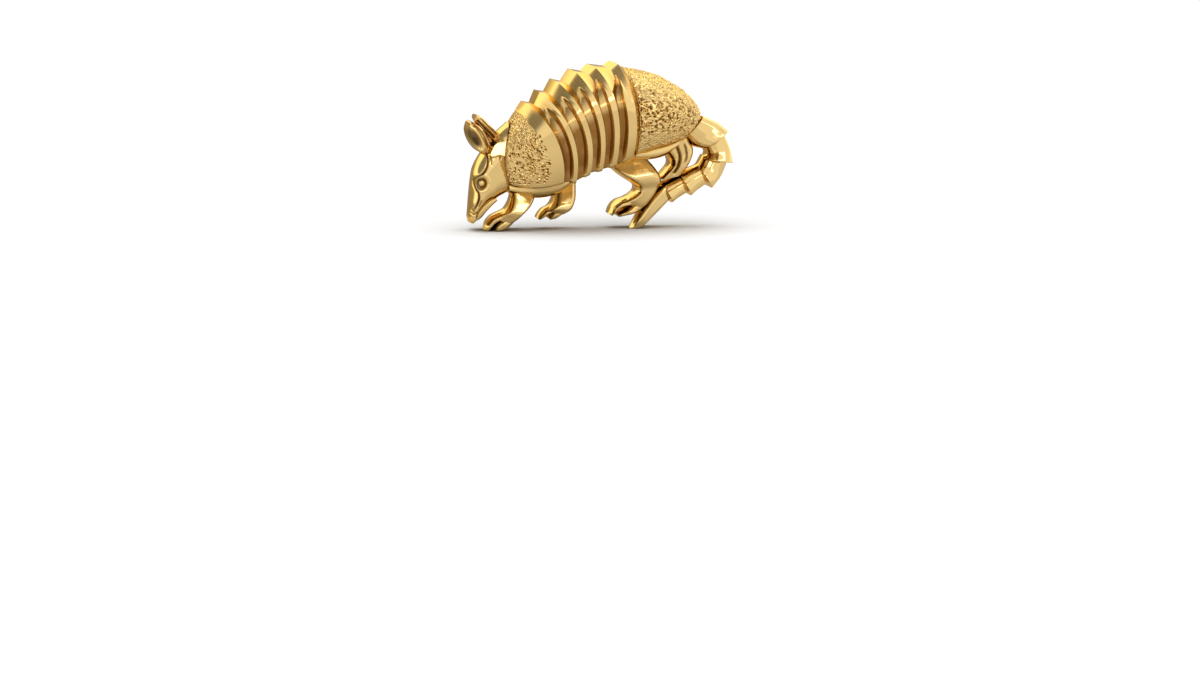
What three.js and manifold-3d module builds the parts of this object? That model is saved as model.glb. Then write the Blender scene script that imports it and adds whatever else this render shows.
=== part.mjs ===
// A cast armadillo charm in high relief, nose down and to the left, with a flat back.
// Millimetres. +X runs from the head to the tail, +Z is up, and the relief swells towards -Y.
// Every piece is drawn in the plane of the flat back as [x, z, height above the back].
// Seams between neighbouring pieces are hair-thin cuts, so that each named part is its own solid.

import * as THREE from "three";
import Module from "manifold-3d";

const wasm = await Module();
wasm.setup();

// ---- driving dimensions ----
const SEAM = 0.16; // width of the cuts between pieces of the shell
const SHELL_STEPS = 16; // facets round the shell, from its back edge to the belly
const LIMB_ACROSS = 6; // facets across a limb
const SHELL_LEAN = 0.35; // rise of the body's long axis towards the rump, as a slope
const SLOPE_STEP = 0.01; // share of a curve over which its direction is taken
const WELD = 1e5; // points that round to the same hundredth of a micrometre are one point
const GOLD = 0xd8ac58;
const ROUGHNESS = 0.22;

// ---- the armour: curves that run round the body, from the back edge to the belly ----
// top, bend and low steer a quadratic curve in the plane of the back. high is the height of
// its crown, rim the height left at the belly, crown the place of the highest point along
// the curve, and power the squareness of its shoulder.
const curve = (top, bend, low, high, rim, crown, power) => ({ top, bend, low, high, rim, crown, power });
const COLLAR = curve([-10.47, 12.57], [-12.6, 8.8], [-10.85, 5.35], 6.5, 5.5, 0.45, 2.1);
const CRESTS = [
  curve([-8.88, 15.0], [-5.15, 10.95], [-5.15, 5.85], 11.5, 9.0, 0.42, 2.1),
  curve([-7.35, 16.3], [-3.3, 11.8], [-3.75, 5.9], 12.0, 9.4, 0.42, 2.4),
  curve([-5.45, 17.57], [-1.45, 12.8], [-2.1, 6.85], 12.0, 9.4, 0.43, 2.3),
  curve([-3.32, 18.7], [0.05, 13.8], [-0.65, 7.25], 11.9, 9.2, 0.44, 2.2),
  curve([-1.05, 19.25], [1.75, 15.1], [1.05, 7.65], 11.4, 8.7, 0.47, 2.0),
  curve([1.65, 19.6], [3.75, 14.45], [3.1, 8.4], 10.8, 7.9, 0.5, 1.8),
];
const REAR_GROOVE = curve([2.75, 18.9], [4.05, 14.3], [3.6, 8.6], 10.15, 7.5, 0.5, 1.8);
const PELVIS = [
  curve([3.1, 18.9], [4.35, 14.0], [4.0, 9.45], 10.3, 7.7, 0.5, 1.8),
  curve([6.0, 18.25], [7.1, 14.1], [5.4, 9.5], 9.8, 7.2, 0.5, 1.8),
  curve([8.4, 17.26], [9.4, 13.9], [7.2, 9.8], 8.9, 6.6, 0.5, 1.8),
  curve([10.3, 15.98], [10.95, 13.4], [8.9, 10.35], 7.6, 6.0, 0.5, 1.9),
  curve([11.55, 14.52], [11.45, 12.9], [10.1, 11.15], 6.3, 5.5, 0.5, 2.0),
  curve([12.08, 13.05], [10.75, 12.75], [10.4, 11.5], 5.6, 5.2, 0.5, 2.2),
];

// ---- the flutes between the crests, as shares of the pitch from one crest to the next ----
const VALLEY_AT_EDGE = [0.42, 0.43, 0.43, 0.56, 0.62]; // deepest line of each flute at the back edge
const VALLEY_IN_FRONT = 0.28; // the same over the front of the shell
const BEVEL_START = 0.68; // where the flat bevel before each crest begins
const BEVEL_DEPTH = 0.3; // depth there, as a share of the flute's depth
const FLUTE_DEPTH = [0.8, 0.82, 0.84, 0.92, 0.98];
const EDGE_SHARE = [1, 1, 1, 0.65, 0.5]; // share of that depth left at the back edge
const BELLY_SHARE = 0.3; // share of it left at the belly, where the flutes run out
const BELLY_ZONE = 0.14; // stretch of the curve over which they do
const EDGE_BEVEL = 0.6; // place of the bevel at the back edge, from valley to crest
const EDGE_ZONE = 0.3; // stretch of the curve over which a tooth becomes a flute
const SHOULDER_COLUMNS = 7; // facets along the shoulder shield
const PELVIS_COLUMNS = 2; // facets between two curves of the pelvic shield
const SHOULDER_SAG = 0.35; // how far the lower edge of the shoulder shield hangs
const SHOULDER_SWELL = 0.45; // how far its middle stands above a straight slope

// ---- geometry helpers ----
const mix = (a, b, k) => a + (b - a) * k;
const mixPoint = (a, b, k) => a.map((value, i) => mix(value, b[i], k));
const smooth = (k) => THREE.MathUtils.smoothstep(k, 0, 1);

// Value of a list at a fractional index, on a smooth curve through its entries.
function along(values, index) {
  const last = values.length - 1;
  const i = Math.min(Math.floor(index), last - 1);
  const k = index - i;
  const at = (n) => values[Math.max(0, Math.min(last, n))];
  const [before, a, b, after] = [at(i - 1), at(i), at(i + 1), at(i + 2)];
  const slopeA = (b - before) / 2;
  const slopeB = (after - a) / 2;
  const k2 = k * k;
  const k3 = k2 * k;
  const ends = (2 * k3 - 3 * k2 + 1) * a + (3 * k2 - 2 * k3) * b;
  return ends + (k3 - 2 * k2 + k) * slopeA + (k3 - k2) * slopeB;
}

function alongPoints(points, index) {
  return points[0].map((_, axis) => along(points.map((p) => p[axis]), index));
}

// A curve round the body part of the way between two others.
function between(a, b, k) {
  return {
    top: mixPoint(a.top, b.top, k),
    bend: mixPoint(a.bend, b.bend, k),
    low: mixPoint(a.low, b.low, k),
    high: mix(a.high, b.high, k),
    rim: mix(a.rim, b.rim, k),
    crown: mix(a.crown, b.crown, k),
    power: mix(a.power, b.power, k),
  };
}

// Point of a curve round the body: t runs from 0 at the back edge to 1 at the belly.
function roundBody(curve, t) {
  const [x, z] = curve.top.map(
    (value, i) => (1 - t) ** 2 * value + 2 * t * (1 - t) * curve.bend[i] + t * t * curve.low[i],
  );
  if (t < curve.crown) {
    const k = 1 - t / curve.crown;
    return [x, z, curve.high * (1 - k ** curve.power) ** (1 / curve.power)];
  }
  const k = (t - curve.crown) / (1 - curve.crown);
  return [x, z, curve.high - (curve.high - curve.rim) * k ** 2];
}

// Outward direction of the shell at t, from the slope of the curve itself.
function outward(curve, t) {
  const a = new THREE.Vector3(...roundBody(curve, Math.max(0, t - SLOPE_STEP)));
  const b = new THREE.Vector3(...roundBody(curve, Math.min(1, t + SLOPE_STEP)));
  const tangent = b.sub(a).normalize();
  const axis = new THREE.Vector3(1, SHELL_LEAN, 0).normalize();
  const normal = new THREE.Vector3().crossVectors(axis, tangent).normalize();
  return normal.z < 0 ? normal.negate() : normal;
}

// Closed solid over the flat back from rows of surface points, each row running edge to edge.
function reliefGeometry(rows) {
  const positions = [];
  const indices = [];
  const numbers = new Map();
  const vertex = (point) => {
    const key = point.map((value) => Math.round(value * WELD)).join();
    if (!numbers.has(key)) {
      numbers.set(key, positions.length / 3);
      positions.push(point[0], -point[2], point[1]);
    }
    return numbers.get(key);
  };
  const face = (...corners) => {
    const [a, b, c] = corners.map(vertex);
    if (a !== b && b !== c && c !== a) indices.push(a, b, c);
  };
  const quad = (a, b, c, d) => {
    face(a, b, c);
    face(a, c, d);
  };
  const foot = ([x, z]) => [x, z, 0];
  rows.slice(1).forEach((row, i) => {
    const before = rows[i];
    const last = row.length - 1;
    for (let j = 0; j < last; j++) quad(before[j], row[j], row[j + 1], before[j + 1]);
    quad(foot(before[0]), foot(row[0]), row[0], before[0]);
    quad(before[last], row[last], foot(row[last]), foot(before[last]));
    quad(foot(before[last]), foot(row[last]), foot(row[0]), foot(before[0]));
  });
  const cap = (row, flip) => {
    const last = row.length - 1;
    const outline = [foot(row[0]), ...row];
    outline.slice(1).forEach((point, j) => {
      const corners = [foot(row[last]), outline[j], point];
      face(...(flip ? corners.reverse() : corners));
    });
  };
  cap(rows[0], false);
  cap(rows[rows.length - 1], true);
  const geometry = new THREE.BufferGeometry();
  geometry.setAttribute("position", new THREE.Float32BufferAttribute(positions, 3));
  geometry.setIndex(signedVolume(positions, indices) < 0 ? indices.reverse() : indices);
  return geometry;
}

function signedVolume(positions, indices) {
  const corner = (i) => new THREE.Vector3().fromArray(positions, indices[i] * 3);
  let sum = 0;
  for (let i = 0; i < indices.length; i += 3) {
    sum += corner(i).dot(corner(i + 1).cross(corner(i + 2)));
  }
  return sum / 6;
}

function toManifold(geometry) {
  return new wasm.Manifold(
    new wasm.Mesh({
      numProp: 3,
      vertProperties: new Float32Array(geometry.getAttribute("position").array),
      triVerts: new Uint32Array(geometry.index.array),
    }),
  );
}

function fromManifold(solid) {
  const mesh = solid.getMesh();
  const geometry = new THREE.BufferGeometry();
  geometry.setAttribute("position", new THREE.BufferAttribute(mesh.vertProperties, 3));
  geometry.setIndex(new THREE.BufferAttribute(mesh.triVerts, 1));
  return geometry;
}

const joined = (geometries) => fromManifold(geometries.map(toManifold).reduce((a, b) => a.add(b)));

// Rows across a limb between two rails of [x, z, height], swollen between them by rise.
// bow pushes the middle of the first row sideways, to follow a curved neighbour.
function limbRows(shape) {
  const { left, right, rise, power = 2, steps = 3, across = LIMB_ACROSS, bow = [0, 0], profile } = shape;
  const rows = [];
  const count = (left.length - 1) * steps;
  for (let i = 0; i <= count; i++) {
    const index = i / steps;
    const a = alongPoints(left, index);
    const b = alongPoints(right, index);
    const swell = along(rise, index);
    const fade = Math.max(0, 1 - index) ** 2;
    rows.push(
      Array.from({ length: across + 1 }, (_, j) => {
        const v = (2 * j) / across - 1;
        const [x, z, height] = mixPoint(a, b, j / across);
        const arch = profile ? profile(v) : (1 - Math.abs(v) ** power) ** (1 / power);
        const side = fade * (1 - v * v);
        return [x + bow[0] * side, z + bow[1] * side, height + swell * arch];
      }),
    );
  }
  return rows;
}

const limb = (shape) => reliefGeometry(limbRows(shape));

// ---- the shell ----
// Depth of the flute below the crests, at share w of the pitch, for flute number k.
function fluteDepth(k, w, t) {
  const front = smooth(t / EDGE_ZONE);
  const valley = valleyShare(k, t);
  const bevel = mix(1, BEVEL_START, front);
  const bevelDepth = mix(0, BEVEL_DEPTH, front);
  const runOut = mix(1, BELLY_SHARE, smooth((t - 1 + BELLY_ZONE) / BELLY_ZONE));
  const deepest = FLUTE_DEPTH[k] * mix(EDGE_SHARE[k], 1, front) * runOut;
  if (w <= valley) return (deepest * w) / valley;
  if (w <= bevel) return deepest * mix(1, bevelDepth, (w - valley) / (bevel - valley));
  return deepest * bevelDepth * (1 - (w - bevel) / (1 - bevel));
}

function valleyShare(k, t) {
  return mix(VALLEY_AT_EDGE[k], VALLEY_IN_FRONT, smooth(t / EDGE_ZONE));
}

// Surface point between crest k and crest k + 1.
function flutePoint(k, w, t) {
  const curve = between(CRESTS[k], CRESTS[k + 1], w);
  const depth = fluteDepth(k, w, t);
  const normal = outward(curve, t);
  const [x, z, height] = roundBody(curve, t);
  return [x - normal.x * depth, z - normal.y * depth, Math.max(0, height - normal.z * depth)];
}

// One row along the shell for each share of the way round, made of the points that pick gives.
function shellRows(columns) {
  return columns.map((pick) => Array.from({ length: SHELL_STEPS + 1 }, (_, i) => pick(i / SHELL_STEPS)));
}

function pitch(k) {
  const [x, z] = CRESTS[k].bend;
  const [nextX, nextZ] = CRESTS[k + 1].bend;
  return Math.hypot(nextX - x, nextZ - z);
}

const beforeValley = (k) => (t) => flutePoint(k, valleyShare(k, t) - SEAM / 2 / pitch(k), t);
const afterValley = (k) => (t) => flutePoint(k, valleyShare(k, t) + SEAM / 2 / pitch(k), t);
const bevelShare = (k, t) => mix(mix(VALLEY_AT_EDGE[k], 1, EDGE_BEVEL), BEVEL_START, smooth(t / EDGE_ZONE));
const bevelLine = (k) => (t) => flutePoint(k, bevelShare(k, t), t);
const crestLine = (k) => (t) => roundBody(CRESTS[k], t);

function shoulderShield() {
  const columns = [];
  for (let i = 0; i < SHOULDER_COLUMNS; i++) {
    const k = i / SHOULDER_COLUMNS;
    columns.push((t) => {
      const [x, z, height] = roundBody(between(COLLAR, CRESTS[0], k), t);
      const hump = Math.sin(Math.PI * k);
      return [x, z - SHOULDER_SAG * hump * t * t, height + SHOULDER_SWELL * hump * smooth(t / EDGE_ZONE)];
    });
  }
  return reliefGeometry(shellRows([...columns, crestLine(0), beforeValley(0)]));
}

function band(number) {
  const columns = [afterValley(number - 1), bevelLine(number - 1), crestLine(number), beforeValley(number)];
  return reliefGeometry(shellRows(columns));
}

function rearBand() {
  const last = CRESTS.length - 1;
  const groove = (t) => roundBody(REAR_GROOVE, t);
  return reliefGeometry(shellRows([afterValley(last - 1), bevelLine(last - 1), crestLine(last), groove]));
}

function pelvicShield() {
  const count = (PELVIS.length - 1) * PELVIS_COLUMNS;
  const columns = Array.from({ length: count + 1 }, (_, i) => (t) => {
    const rounds = PELVIS.map((curve) => roundBody(curve, t));
    return alongPoints(rounds, i / PELVIS_COLUMNS);
  });
  return reliefGeometry(shellRows(columns));
}

// The smooth rolled edge under the shoulder shield.
const SHOULDER_RIM = {
  left: [[-10.85, 5.1, 5.3], [-8.7, 4.75, 6.2], [-7.1, 4.9, 7.2], [-5.5, 5.55, 8.4], [-4.7, 5.95, 8.6]],
  right: [[-10.8, 4.45, 4.9], [-9.4, 4.05, 5.3], [-7.4, 3.95, 5.9], [-5.5, 4.5, 7.1], [-4.3, 5.55, 8.0]],
  rise: [0.25, 0.35, 0.4, 0.35, 0.25],
  across: 4,
};

// The smooth skirt under the pelvic shield, which widens towards the far hind leg.
const PELVIC_SKIRT = {
  left: [[4.0, 9.25, 7.3], [5.9, 9.3, 6.9], [7.6, 9.6, 6.3], [9.1, 10.1, 5.7], [10.05, 10.95, 5.3]],
  right: [[3.7, 8.35, 6.9], [5.3, 8.24, 6.5], [7.0, 8.48, 5.9], [8.5, 9.2, 5.3], [9.75, 10.35, 5.0]],
  rise: [0.2, 0.25, 0.3, 0.25, 0.2],
  across: 4,
};

// ---- the head ----
const HEAD = {
  left: [
    [-11.0, 12.3, 4.2], [-12.0, 11.35, 4.4], [-12.9, 10.2, 4.6], [-13.85, 8.95, 4.6], [-14.75, 7.3, 4.6],
    [-15.08, 5.6, 4.6], [-15.27, 3.8, 4.6], [-15.4, 2.2, 4.6], [-15.4, 1.05, 4.5],
  ],
  right: [
    [-11.15, 4.85, 4.5], [-11.6, 4.5, 4.5], [-12.1, 4.18, 4.5], [-12.6, 3.88, 4.5], [-13.1, 3.75, 4.5],
    [-13.65, 3.35, 4.5], [-14.3, 2.75, 4.5], [-14.8, 2.0, 4.5], [-15.05, 1.1, 4.4],
  ],
  rise: [1.0, 1.1, 1.2, 1.35, 1.4, 1.35, 1.2, 0.9, 0.5],
  power: 2.2,
  across: 8,
  steps: 2,
  bow: [-0.95, 0],
};
const JAW = {
  left: [[-12.85, 3.65, 4.3], [-13.5, 3.2, 4.4], [-14.2, 2.55, 4.4], [-14.7, 1.8, 4.4], [-15.0, 1.3, 4.3]],
  right: [
    [-12.6, 3.4, 4.3], [-13.15, 2.85, 4.3], [-13.75, 2.18, 4.3],
    [-14.25, 1.6, 4.3], [-14.7, 1.2, 4.3],
  ],
  rise: [0.15, 0.3, 0.35, 0.3, 0.15],
  across: 4,
  steps: 2,
};
const EYE = { x: -14.3, z: 5.8, ball: 0.38, socket: 0.8, floor: 5.3, gap: 0.06 };
const EYE_SEGMENTS = 16;

const EAR_RIM = 0.6; // place of the ear's rim, from its middle line to its edge
const EAR_HOLLOW = -0.9; // depth of its hollow, against the height of the rim

// Height across a hollow ear: a dish between two rounded rims.
function hollow(v) {
  const side = Math.abs(v);
  if (side < EAR_RIM) return mix(EAR_HOLLOW, 1, (v / EAR_RIM) ** 2);
  return 1 - ((side - EAR_RIM) / (1 - EAR_RIM)) ** 2;
}

const NEAR_EAR = {
  left: [
    [-14.0, 9.25, 4.3], [-14.92, 9.8, 4.6], [-15.45, 10.7, 4.7],
    [-15.7, 11.75, 4.6], [-15.58, 12.6, 4.3],
  ],
  right: [
    [-13.2, 10.35, 4.3], [-13.4, 11.05, 4.6], [-13.95, 11.8, 4.7],
    [-14.6, 12.5, 4.6], [-15.2, 12.98, 4.3],
  ],
  rise: [0.3, 0.55, 0.6, 0.5, 0.3],
  across: 8,
  steps: 2,
  profile: hollow,
};
const FAR_EAR = {
  left: [
    [-12.95, 10.6, 3.2], [-13.35, 11.15, 3.3], [-13.9, 11.88, 3.3],
    [-14.5, 12.55, 3.3], [-14.82, 13.1, 3.2],
  ],
  right: [
    [-12.05, 11.5, 3.2], [-12.65, 11.9, 3.3], [-13.32, 12.65, 3.3],
    [-13.93, 13.28, 3.3], [-14.55, 13.58, 3.2],
  ],
  rise: [0.2, 0.35, 0.4, 0.35, 0.2],
  across: 4,
  steps: 2,
};

function ballAt(radius, height) {
  const geometry = new THREE.SphereGeometry(radius, EYE_SEGMENTS, EYE_SEGMENTS / 2);
  geometry.translate(EYE.x, -height, EYE.z);
  return geometry;
}

// Gives a three.js primitive shared vertices, as the solid library needs.
function welded(geometry) {
  const numbers = new Map();
  const positions = [];
  const source = geometry.getAttribute("position");
  const index = Array.from(geometry.index.array, (i) => {
    const point = [source.getX(i), source.getY(i), source.getZ(i)];
    const key = point.map((value) => Math.round(value * WELD)).join();
    if (!numbers.has(key)) {
      numbers.set(key, positions.length / 3);
      positions.push(...point);
    }
    return numbers.get(key);
  });
  const kept = [];
  for (let i = 0; i < index.length; i += 3) {
    const [a, b, c] = index.slice(i, i + 3);
    if (a !== b && b !== c && c !== a) kept.push(a, b, c);
  }
  const result = new THREE.BufferGeometry();
  result.setAttribute("position", new THREE.Float32BufferAttribute(positions, 3));
  result.setIndex(kept);
  return result;
}

function head() {
  const socket = toManifold(welded(ballAt(EYE.socket, EYE.floor + EYE.socket)));
  return fromManifold(toManifold(limb(HEAD)).subtract(socket));
}

const eye = () => welded(ballAt(EYE.ball, EYE.floor + EYE.gap + EYE.ball));

// ---- the legs: a shank and two toes, joined ----
const FRONT_NEAR = [
  {
    left: [
      [-10.45, 4.2, 4.9], [-10.65, 3.15, 4.8], [-11.2, 2.32, 4.7],
      [-11.9, 1.95, 4.6], [-12.5, 1.5, 4.5],
    ],
    right: [[-8.3, 3.75, 5.1], [-8.6, 2.9, 4.9], [-9.45, 2.05, 4.8], [-10.25, 1.25, 4.7], [-10.9, 0.8, 4.6]],
    rise: [1.0, 1.0, 0.9, 0.8, 0.5],
  },
  {
    left: [[-11.6, 2.02, 4.4], [-12.85, 1.47, 4.7], [-13.4, 0.76, 4.7], [-13.7, 0, 4.7]],
    right: [[-11.6, 1.3, 4.4], [-12.5, 0.95, 4.6], [-12.95, 0.45, 4.6], [-13.3, 0, 4.6]],
    rise: [0.6, 0.5, 0.45, 0.3],
    across: 4,
  },
  {
    left: [[-11.3, 1.6, 4.4], [-12.15, 1.1, 4.6], [-12.55, 0.5, 4.6], [-12.8, 0, 4.6]],
    right: [[-10.3, 1.2, 4.4], [-10.85, 0.65, 4.7], [-11.5, 0.2, 4.7], [-12.1, 0, 4.7]],
    rise: [0.6, 0.5, 0.45, 0.3],
    across: 4,
  },
];
const FRONT_FAR = [
  {
    left: [[-5.25, 4.25, 4.8], [-5.45, 3.3, 4.6], [-5.95, 2.65, 4.5], [-6.45, 2.3, 4.4]],
    right: [[-3.35, 5.6, 4.9], [-3.2, 3.8, 4.7], [-3.7, 2.55, 4.6], [-4.55, 1.9, 4.5]],
    rise: [0.9, 0.9, 0.8, 0.5],
  },
  {
    left: [[-5.75, 2.75, 4.2], [-6.64, 2.27, 4.5], [-7.12, 1.71, 4.5], [-7.4, 1.3, 4.5]],
    right: [[-5.55, 2.2, 4.2], [-6.25, 1.9, 4.5], [-6.7, 1.55, 4.5], [-7.1, 1.2, 4.5]],
    rise: [0.6, 0.5, 0.4, 0.25],
    across: 4,
  },
  {
    left: [[-5.35, 2.4, 4.2], [-5.8, 1.95, 4.5], [-6.0, 1.6, 4.5], [-6.15, 1.32, 4.5]],
    right: [[-4.15, 2.2, 4.2], [-4.85, 1.7, 4.5], [-5.4, 1.33, 4.5], [-5.85, 1.18, 4.5]],
    rise: [0.6, 0.5, 0.4, 0.25],
    across: 4,
  },
];
const HIND_NEAR = [
  {
    left: [
      [1.25, 7.4, 5.2], [1.9, 6.7, 5.3], [2.75, 6.07, 5.3], [3.68, 5.5, 5.3], [4.3, 4.95, 5.2],
      [4.3, 4.4, 5.2], [3.85, 3.95, 5.1], [3.25, 3.5, 5.0], [2.65, 3.2, 4.8],
    ],
    right: [
      [5.1, 8.15, 5.2], [5.97, 7.45, 5.3], [6.52, 6.65, 5.3], [6.8, 5.85, 5.3], [6.6, 5.1, 5.2],
      [6.2, 4.3, 5.2], [5.65, 3.45, 5.1], [5.1, 2.75, 5.0], [4.45, 2.3, 4.8],
    ],
    rise: [0.9, 1.2, 1.2, 1.1, 1.0, 1.0, 0.9, 0.8, 0.5],
    steps: 2,
    bow: [0, 0.2],
  },
  {
    left: [[3.05, 3.45, 4.8], [2.1, 3.13, 5.0], [1.45, 2.46, 5.0], [1.05, 1.7, 4.9]],
    right: [[3.35, 2.75, 4.8], [2.42, 2.52, 5.0], [1.82, 2.05, 5.0], [1.4, 1.53, 4.9]],
    rise: [0.7, 0.6, 0.5, 0.3],
    across: 4,
  },
  {
    left: [[3.4, 2.8, 4.8], [2.9, 2.25, 5.0], [2.3, 1.9, 5.0], [1.95, 1.6, 4.9]],
    right: [[4.7, 2.3, 4.8], [4.0, 1.85, 5.0], [3.0, 1.65, 5.0], [2.15, 1.32, 4.9]],
    rise: [0.7, 0.6, 0.5, 0.3],
    across: 4,
  },
];
const HIND_FAR = [
  {
    left: [[7.9, 8.6, 4.8], [8.35, 8.05, 4.6], [8.38, 7.45, 4.6], [8.0, 6.8, 4.6], [7.1, 5.8, 4.5]],
    right: [[10.3, 10.1, 4.8], [10.8, 9.55, 4.6], [10.77, 8.6, 4.6], [10.3, 7.5, 4.6], [9.45, 6.35, 4.5]],
    rise: [0.7, 0.9, 1.0, 0.9, 0.6],
  },
];

const leg = (pieces) => joined(pieces.map(limb));

// ---- the tail: five cups that flare backwards, and a long tip ----
// root, middle and rim of each cup are [outer, inner] points in the plane of the back.
const cup = (root, middle, rim) => ({ root, middle, rim });
const TAIL_RINGS = [
  cup([[12.3, 12.8], [10.3, 10.65]], [[13.85, 12.35], [11.15, 9.6]], [[15.02, 11.4], [12.4, 9.28]]),
  cup([[14.5, 10.7], [12.75, 9.05]], [[15.3, 9.4], [12.93, 8.6]], [[15.6, 7.62], [12.55, 8.05]]),
  cup([[14.98, 7.45], [12.55, 7.82]], [[14.25, 6.1], [12.15, 7.4]], [[13.1, 4.7], [11.72, 6.93]]),
  cup([[12.35, 5.25], [11.5, 6.82]], [[11.4, 4.45], [10.42, 6.52]], [[10.6, 3.85], [9.45, 6.05]]),
  cup([[10.05, 4.25], [9.3, 5.8]], [[9.15, 3.6], [8.35, 5.45]], [[8.3, 3.05], [7.4, 5.05]]),
];
const RING_EDGE = [4.5, 4.4, 4.5]; // side wall at root, middle and rim of a cup
const RING_RISE = [0.8, 1.1, 1.5];
const TAIL_BOW = [-0.1, 0.4]; // the root of the first cup follows the rump
const TAIL_TIP = {
  left: [[7.25, 4.75, 4.5], [6.2, 3.6, 4.5], [5.35, 2.4, 4.5], [4.6, 1.15, 4.5], [3.9, 0, 4.5]],
  right: [[7.8, 3.2, 4.5], [6.7, 2.07, 4.5], [5.8, 1.17, 4.5], [5.0, 0.43, 4.6], [4.4, 0, 4.6]],
  rise: [0.9, 0.9, 0.8, 0.7, 0.4],
};

function tailRing(index) {
  const { root, middle, rim } = TAIL_RINGS[index];
  const rail = (side) => [root, middle, rim].map((ends, i) => [...ends[side], RING_EDGE[i]]);
  return limb({
    left: rail(0),
    right: rail(1),
    rise: RING_RISE,
    bow: index === 0 ? TAIL_BOW : [0, 0],
  });
}

// ---- the object ----
const charm = new THREE.Group();

function add(name, geometry) {
  const material = new THREE.MeshStandardMaterial({ color: GOLD, roughness: ROUGHNESS, metalness: 1 });
  const mesh = new THREE.Mesh(geometry, material);
  mesh.name = name;
  charm.add(mesh);
}

add("head", head());
add("lower_jaw", limb(JAW));
add("eye", eye());
add("ear_near", limb(NEAR_EAR));
add("ear_far", limb(FAR_EAR));
add("shoulder_shield", shoulderShield());
add("shoulder_rim", limb(SHOULDER_RIM));
for (let number = 1; number < CRESTS.length - 1; number++) add("band_" + number, band(number));
add("band_" + (CRESTS.length - 1), rearBand());
add("pelvic_shield", pelvicShield());
add("pelvic_skirt", limb(PELVIC_SKIRT));
add("front_leg_near", leg(FRONT_NEAR));
add("front_leg_far", leg(FRONT_FAR));
add("hind_leg_near", leg(HIND_NEAR));
add("hind_leg_far", leg(HIND_FAR));
TAIL_RINGS.forEach((_, i) => add("tail_ring_" + (i + 1), tailRing(i)));
add("tail_tip", limb(TAIL_TIP));

// The origin is on the floor, under the middle of the charm's length and depth.
const box = new THREE.Box3().setFromObject(charm);
const middle = box.getCenter(new THREE.Vector3());
charm.position.set(-middle.x, -middle.y, -box.min.z);

export default charm;
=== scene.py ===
import math

import bmesh
import bpy
import numpy as np
from mathutils import Matrix, Vector


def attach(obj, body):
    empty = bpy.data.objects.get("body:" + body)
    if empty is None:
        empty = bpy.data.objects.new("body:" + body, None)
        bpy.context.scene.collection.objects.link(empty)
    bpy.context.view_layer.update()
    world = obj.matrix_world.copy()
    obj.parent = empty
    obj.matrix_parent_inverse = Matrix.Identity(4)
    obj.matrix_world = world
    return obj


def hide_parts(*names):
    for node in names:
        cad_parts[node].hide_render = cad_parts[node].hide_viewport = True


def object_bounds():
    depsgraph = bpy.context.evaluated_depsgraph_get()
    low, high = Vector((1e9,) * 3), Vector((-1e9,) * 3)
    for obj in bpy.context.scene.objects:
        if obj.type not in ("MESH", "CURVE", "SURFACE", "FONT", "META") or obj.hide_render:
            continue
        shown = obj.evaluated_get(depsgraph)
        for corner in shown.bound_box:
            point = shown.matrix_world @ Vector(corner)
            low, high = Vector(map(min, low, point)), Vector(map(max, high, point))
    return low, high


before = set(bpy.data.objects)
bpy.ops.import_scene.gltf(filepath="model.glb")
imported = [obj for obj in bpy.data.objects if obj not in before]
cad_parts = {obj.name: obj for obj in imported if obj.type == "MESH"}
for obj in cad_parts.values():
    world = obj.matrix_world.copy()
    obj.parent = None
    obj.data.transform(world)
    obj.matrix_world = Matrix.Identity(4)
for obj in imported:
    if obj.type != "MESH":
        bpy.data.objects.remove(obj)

cadLow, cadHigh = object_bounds()
print("frame loaded")

# the drawing: x along the charm, z up, h out of the flat back, all in millimetres
drawing = {"left": -15.7, "length": 31.3}
unit = (cadHigh.x - cadLow.x) / drawing["length"]
tiny = 1e-12


def toWorld(points):
    x = cadLow.x + (points[:, 0] - drawing["left"]) * unit
    y = cadHigh.y - points[:, 2] * unit
    z = cadLow.z + points[:, 1] * unit
    return np.stack([x, y, z], axis=1)


def mix(a, b, k):
    return a + (b - a) * k


def smooth(k):
    k = np.clip(k, 0.0, 1.0)
    return k * k * (3 - 2 * k)


def roundOff(k):
    # how far a quarter round has dropped, 0 where it starts and 1 at its end
    return 1 - np.sqrt(1 - k**2)


def smoothAlong(values, index):
    # a smooth curve through the rows of a list, read at fractional places
    values = np.asarray(values, float)
    last = len(values) - 1
    i = np.clip(np.floor(index).astype(int), 0, last - 1)
    k = index - i
    if values.ndim > 1:
        k = k[:, None]
    before, a, b, after = (values[np.clip(i + n, 0, last)] for n in (-1, 0, 1, 2))
    slopeA, slopeB = (b - before) / 2, (after - a) / 2
    k2, k3 = k * k, k * k * k
    bend = (k3 - 2 * k2 + k) * slopeA + (k3 - k2) * slopeB
    return (2 * k3 - 3 * k2 + 1) * a + (3 * k2 - 2 * k3) * b + bend


def nearLine(points, line, perStep=10):
    # distance of each point to a smooth line, the place along it (0..1), and which side it is on
    line = np.asarray(line, float)
    track = smoothAlong(line, np.linspace(0, len(line) - 1, (len(line) - 1) * perStep + 1))
    best = np.full(len(points), np.inf)
    place = np.zeros(len(points))
    side = np.ones(len(points))
    for i in range(len(track) - 1):
        a, b = track[i], track[i + 1]
        step = b - a
        k = np.clip(((points - a) @ step) / max(step @ step, tiny), 0, 1)
        gap = points - a - k[:, None] * step
        d = np.hypot(gap[:, 0], gap[:, 1])
        closer = d < best
        best[closer] = d[closer]
        place[closer] = ((i + k) / (len(track) - 1))[closer]
        side[closer] = np.sign(step[0] * gap[:, 1] - step[1] * gap[:, 0])[closer]
    return best, place, side


# a line or dent this deep gets the full painted shade; a line fades out at its ends over these shares
carving = {"lineTone": 0.25, "dentTone": 0.4, "ends": (0.12, 0.12), "lipReach": 4}


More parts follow.
